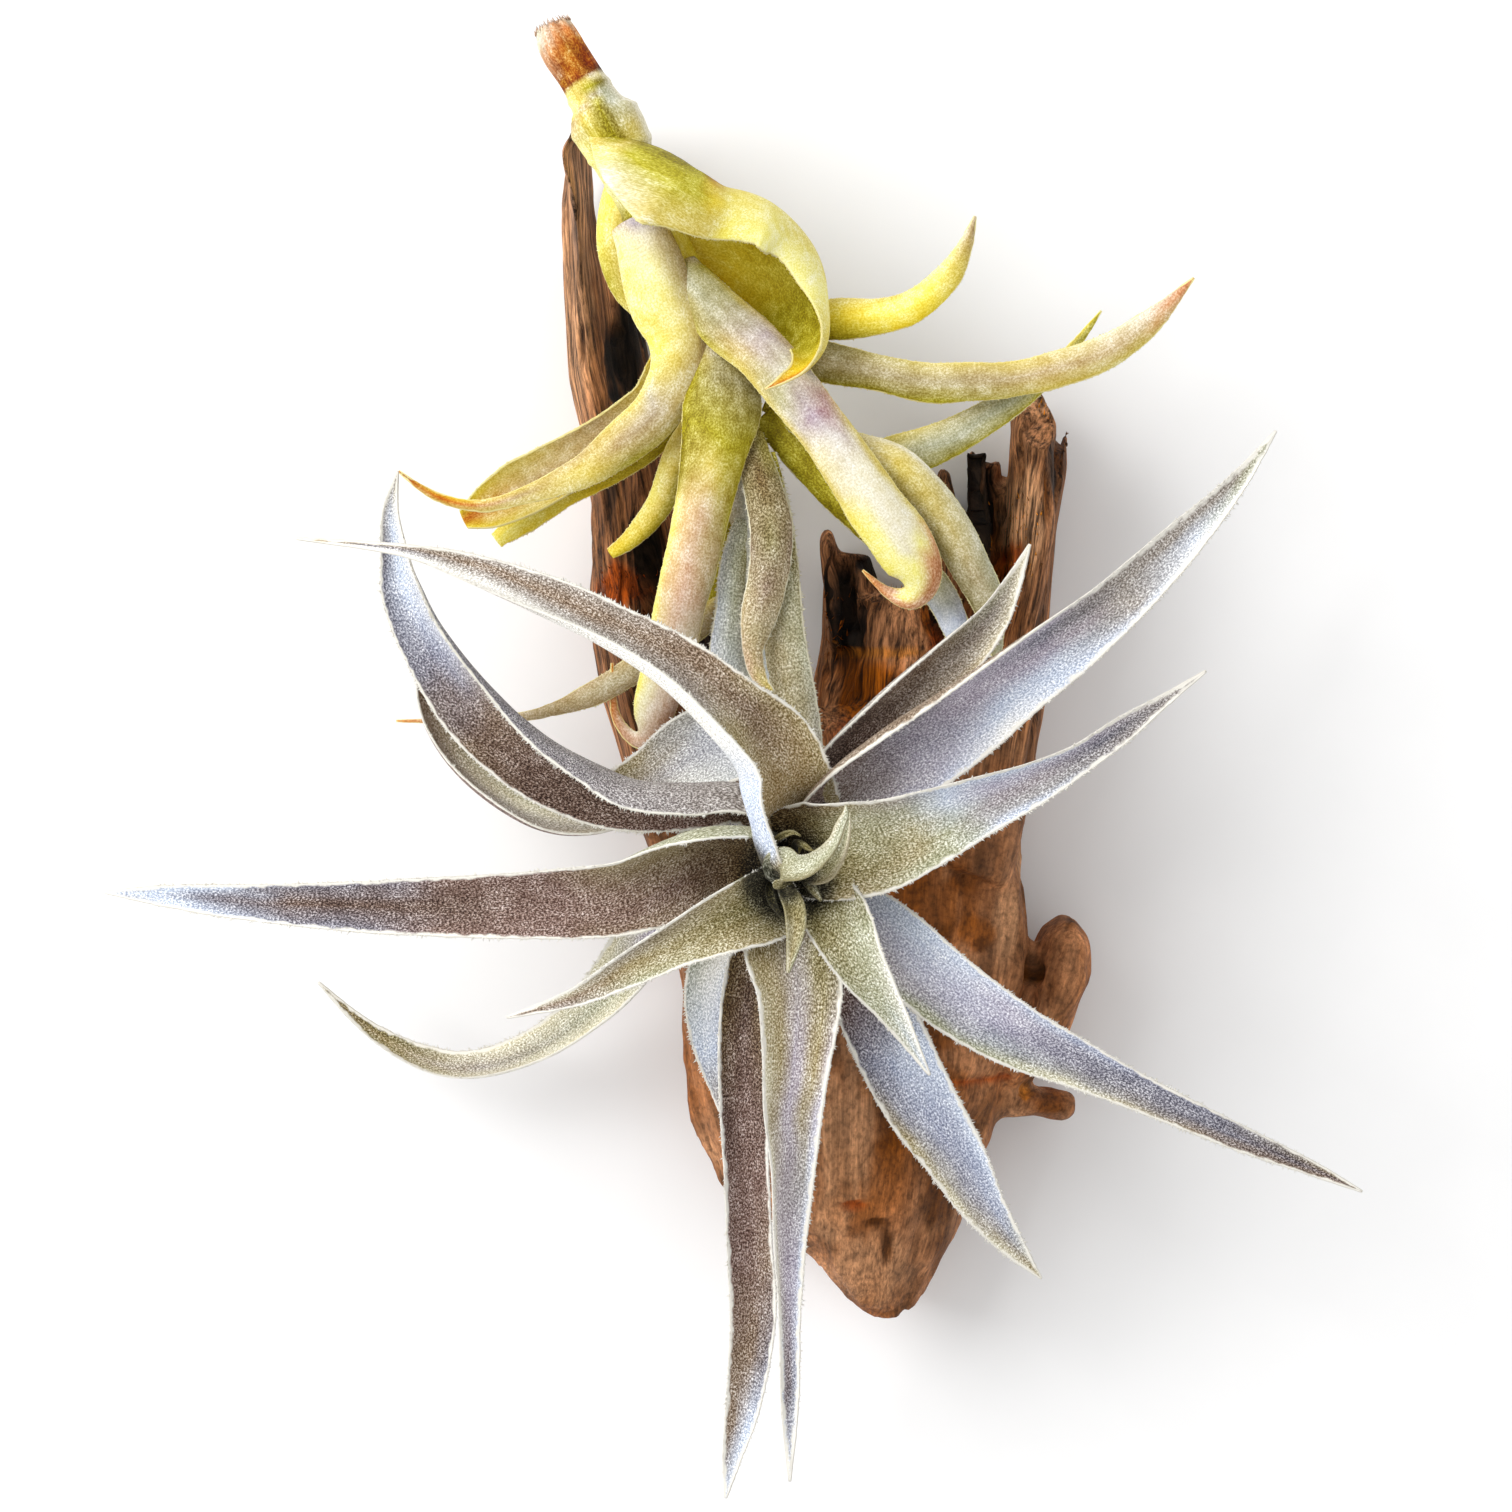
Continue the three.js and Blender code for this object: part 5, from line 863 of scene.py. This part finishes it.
def ramp(tree, factor, stops):
    """A colour ramp through greys at the given places."""
    made = node(tree, "ValToRGB", {"Fac": factor})
    elements = made.color_ramp.elements
    while len(elements) < len(stops):
        elements.new(0.5)
    for element, (place, grey) in zip(elements, stops):
        element.position, element.color = place, (grey, grey, grey, 1)
    return made.outputs["Color"]


def mix(tree, factor, a, b, kind="MIX"):
    """Colour a mixed with b."""
    return node(tree, "Mix", {0: factor, 6: a, 7: b}, data_type="RGBA", blend_type=kind).outputs[2]


def times_ramp(tree, colour, factor, stops):
    """A colour multiplied by a ramp through greys."""
    return mix(tree, 1, colour, ramp(tree, factor, stops), "MULTIPLY")


def spot(tree, place, scale, detail=2, rough=0.5):
    """Value of a noise texture."""
    inputs = {"Vector": place, "Scale": scale, "Detail": detail, "Roughness": rough}
    return node(tree, "TexNoise", inputs).outputs["Fac"]


def between(tree, value, low, high, start, end):
    """A value between low and high as a value between start and end."""
    inputs = {"Value": value, "From Min": low, "From Max": high, "To Min": start, "To Max": end}
    return node(tree, "MapRange", inputs).outputs["Result"]


def add(tree, a, b, kind="ADD"):
    return node(tree, "Math", {0: a, 1: b}, operation=kind).outputs[0]


def new_material(name):
    material = bpy.data.materials.new(name)
    material.use_nodes = True
    tree = material.node_tree
    return material, tree, tree.nodes["Principled BSDF"]


def finish_shader(tree, shader, settings):
    for key, value in settings.items():
        feed(tree, shader.inputs[key], value)


def leaf_material(name, deepest, palest, lace, lace_width=1.0, sheen=0.08, mottle=0.2, streaks=0.12,
                  specks=0.26):
    """Velvet of fine scales: specks that deepen or pale the skin, and a ragged white lace at the margins."""
    material, tree, shader = new_material(name)
    place = attribute(tree, "blade")
    squeeze = stretched(tree, place, (1, 0.7, 1))
    grains = spot(tree, squeeze, GRAIN_SCALE, 3, 0.78)
    clumps = spot(tree, squeeze, CLUMP_SCALE)
    blotch = spot(tree, place, BLOTCH_SCALE, 3)
    streak = spot(tree, stretched(tree, place, (1, 0.07, 1)), STREAK_SCALE, 3, 0.6)

    # Above 1 the power deepens the colour of the skin, and below 1 it pales it
    power = between(tree, grains, 0.41, 0.59, deepest, palest)
    for value, reach in ((clumps, 0.7 * mottle), (blotch, 0.5 * mottle), (streak, streaks)):
        power = add(tree, power, between(tree, value, 0.35, 0.65, reach, -reach))
    tint = attribute(tree, "tint", "Color")
    skin = node(tree, "Gamma", {"Color": tint, "Gamma": power}).outputs["Color"]
    skin = mix(tree, 1, skin, between(tree, grains, 0.41, 0.59, 1 - specks, 1 + specks), "MULTIPLY")

    ragged = add(tree, add(tree, grains, 0.7, "MULTIPLY"), clumps)
    edge = add(tree, attribute(tree, "edge", "Fac"), 0.9 / lace_width, "MULTIPLY")
    white = between(tree, add(tree, ragged, edge), 0.95, 1.2, 1, 0)
    bump = node(tree, "Bump", {"Height": grains, "Strength": 0.6, "Distance": 0.00014})
    bump = node(tree, "Bump", {"Height": clumps, "Strength": 0.35, "Distance": 0.0002,
                               "Normal": bump.outputs["Normal"]})
    finish_shader(tree, shader, {
        "Base Color": mix(tree, white, skin, (*lace, 1)), "Normal": bump.outputs["Normal"], "Roughness": 0.65,
        "Specular IOR Level": 0.2, "Sheen Weight": sheen, "Sheen Roughness": 0.5,
        "Sheen Tint": (1, 0.98, 0.95, 1)})
    return material


def wood_material(name):
    """Wood with dark fibres where it is torn, and fine mottling where it is worn smooth."""
    material, tree, shader = new_material(name)
    tint, raw = attribute(tree, "tint", "Color"), attribute(tree, "edge", "Fac")
    place = attribute(tree, "blade")
    lines = spot(tree, stretched(tree, place, (1, 0.05, 0.7)), FIBRE_SCALE, 6, 0.75)
    pores = spot(tree, place, PORE_SCALE, 4, 0.65)
    blotch = spot(tree, place, WOOD_BLOTCH_SCALE, 4, 0.6)
    rings = spot(tree, stretched(tree, place, (1, 0.35, 1)), RING_SCALE, 1)
    rings = between(tree, add(tree, add(tree, rings, RING_TURN, "MULTIPLY"), 0, "SINE"), -1, 1, 0, 1)
    fibres = times_ramp(tree, tint, lines, ((0.4, 0.14), (0.5, 0.8), (0.6, 1.7)))
    smooth = times_ramp(tree, tint, lines, ((0.4, 0.72), (0.6, 1.18)))
    smooth = times_ramp(tree, smooth, pores, ((0.36, 0.6), (0.5, 1), (0.64, 1.25)))
    smooth = times_ramp(tree, smooth, rings, ((0, 0.78), (0.5, 1.05)))
    colour = times_ramp(tree, mix(tree, raw, smooth, fibres), blotch, ((0.3, 0.7), (0.7, 1.3)))
    height = mix(tree, raw, add(tree, pores, 0.4, "MULTIPLY"), lines)
    bump = node(tree, "Bump", {"Height": height, "Strength": 0.8, "Distance": 0.0006})
    finish_shader(tree, shader, {"Base Color": colour, "Normal": bump.outputs["Normal"], "Roughness": 0.68,
                                 "Specular IOR Level": 0.15})
    return material


def floor_material(name):
    """Matt white board with the faintest mottling."""
    material, tree, shader = new_material(name)
    place = node(tree, "TexCoord", {}).outputs["Object"]
    colour = ramp(tree, spot(tree, place, FLOOR_SCALE, 3), ((0.3, 0.92), (0.7, 0.94)))
    finish_shader(tree, shader, {"Base Color": colour, "Roughness": 0.85})
    return material


MATERIALS = {
    "silver_leaf": leaf_material("silver_leaf_velvet", 2, 0.56, (0.88, 0.85, 0.77)),
    "pale_leaf": leaf_material("pale_leaf_velvet", 1.5, 0.66, (0.8, 0.77, 0.6), 0.8),
    "yellow_leaf": leaf_material("yellow_leaf_skin", 1.35, 0.76, (0.9, 0.8, 0.35), 0.5, sheen=0, mottle=0.3,
                                 specks=0.08),
    "green_leaf": leaf_material("green_leaf_skin", 1.35, 0.76, (0.85, 0.78, 0.4), 0.5, sheen=0.02, mottle=0.3,
                                specks=0.08),
    "heart_leaf": leaf_material("heart_leaf_velvet", 1.7, 0.65, (0.8, 0.8, 0.68), 0.7),
    "stem": leaf_material("stem_skin", 1.4, 0.74, (0.9, 0.84, 0.5), sheen=0, mottle=0.35, streaks=0.2,
                          specks=0.1),
    "driftwood": wood_material("driftwood_grain"),
}


def place_piece(piece, slot_name, *nodes):
    """Dress a piece and let it stand for its CAD nodes."""
    piece.data.materials.clear()
    piece.data.materials.append(MATERIALS[slot_name])
    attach(piece, "root")
    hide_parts(*nodes)


def slot_of(name):
    if name in GREEN_LEAVES:
        return "green_leaf"
    return next(slot for start, slot in SLOTS.items() if name.startswith(start))


def studio():
    """A white floor, a large soft light and a pale surrounding."""
    bpy.ops.mesh.primitive_plane_add(size=FLOOR_SIZE, location=(0, 0, -FLOOR_DROP))
    floor = bpy.context.object
    floor.name = "floor"
    floor.data.materials.append(floor_material("floor_board"))
    world = bpy.data.worlds.new("surrounding")
    world.use_nodes = True
    background = world.node_tree.nodes["Background"]
    background.inputs["Color"].default_value = (1, 1, 1, 1)
    background.inputs["Strength"].default_value = WORLD_STRENGTH
    bpy.context.scene.world = world
    key = bpy.data.objects.new("key", bpy.data.lights.new("key", "AREA"))
    key.data.size, key.data.energy = KEY_SIZE, KEY_POWER
    key.location = KEY_AT
    key.rotation_euler = (-key.location).to_track_quat("-Z", "Y").to_euler()
    bpy.context.collection.objects.link(key)


def camera():
    data = bpy.data.cameras.new("camera")
    data.sensor_width = SENSOR
    data.lens = SENSOR * (CAMERA_AT[2] - ROSETTE_HEIGHT) / WIDTH_SEEN
    data.clip_start, data.clip_end = 0.01, 10
    eye = bpy.data.objects.new("camera", data)
    eye.location = np.array(CAMERA_AT) * MM
    bpy.context.collection.objects.link(eye)
    bpy.context.scene.camera = eye


for index, (leaf_name, *leaf_texts) in enumerate(leaf_table(LEAVES)):
    place_piece(leaf(leaf_name, leaf_texts, LEAF_SEED + SEED_STEP * index), slot_of(leaf_name), leaf_name)
place_piece(heart(), "heart_leaf", "heart_leaves")
place_piece(stem(), "stem", "stem")
place_piece(driftwood(), "driftwood", "driftwood")
studio()
camera()
bpy.context.scene.view_settings.view_transform = "Standard"
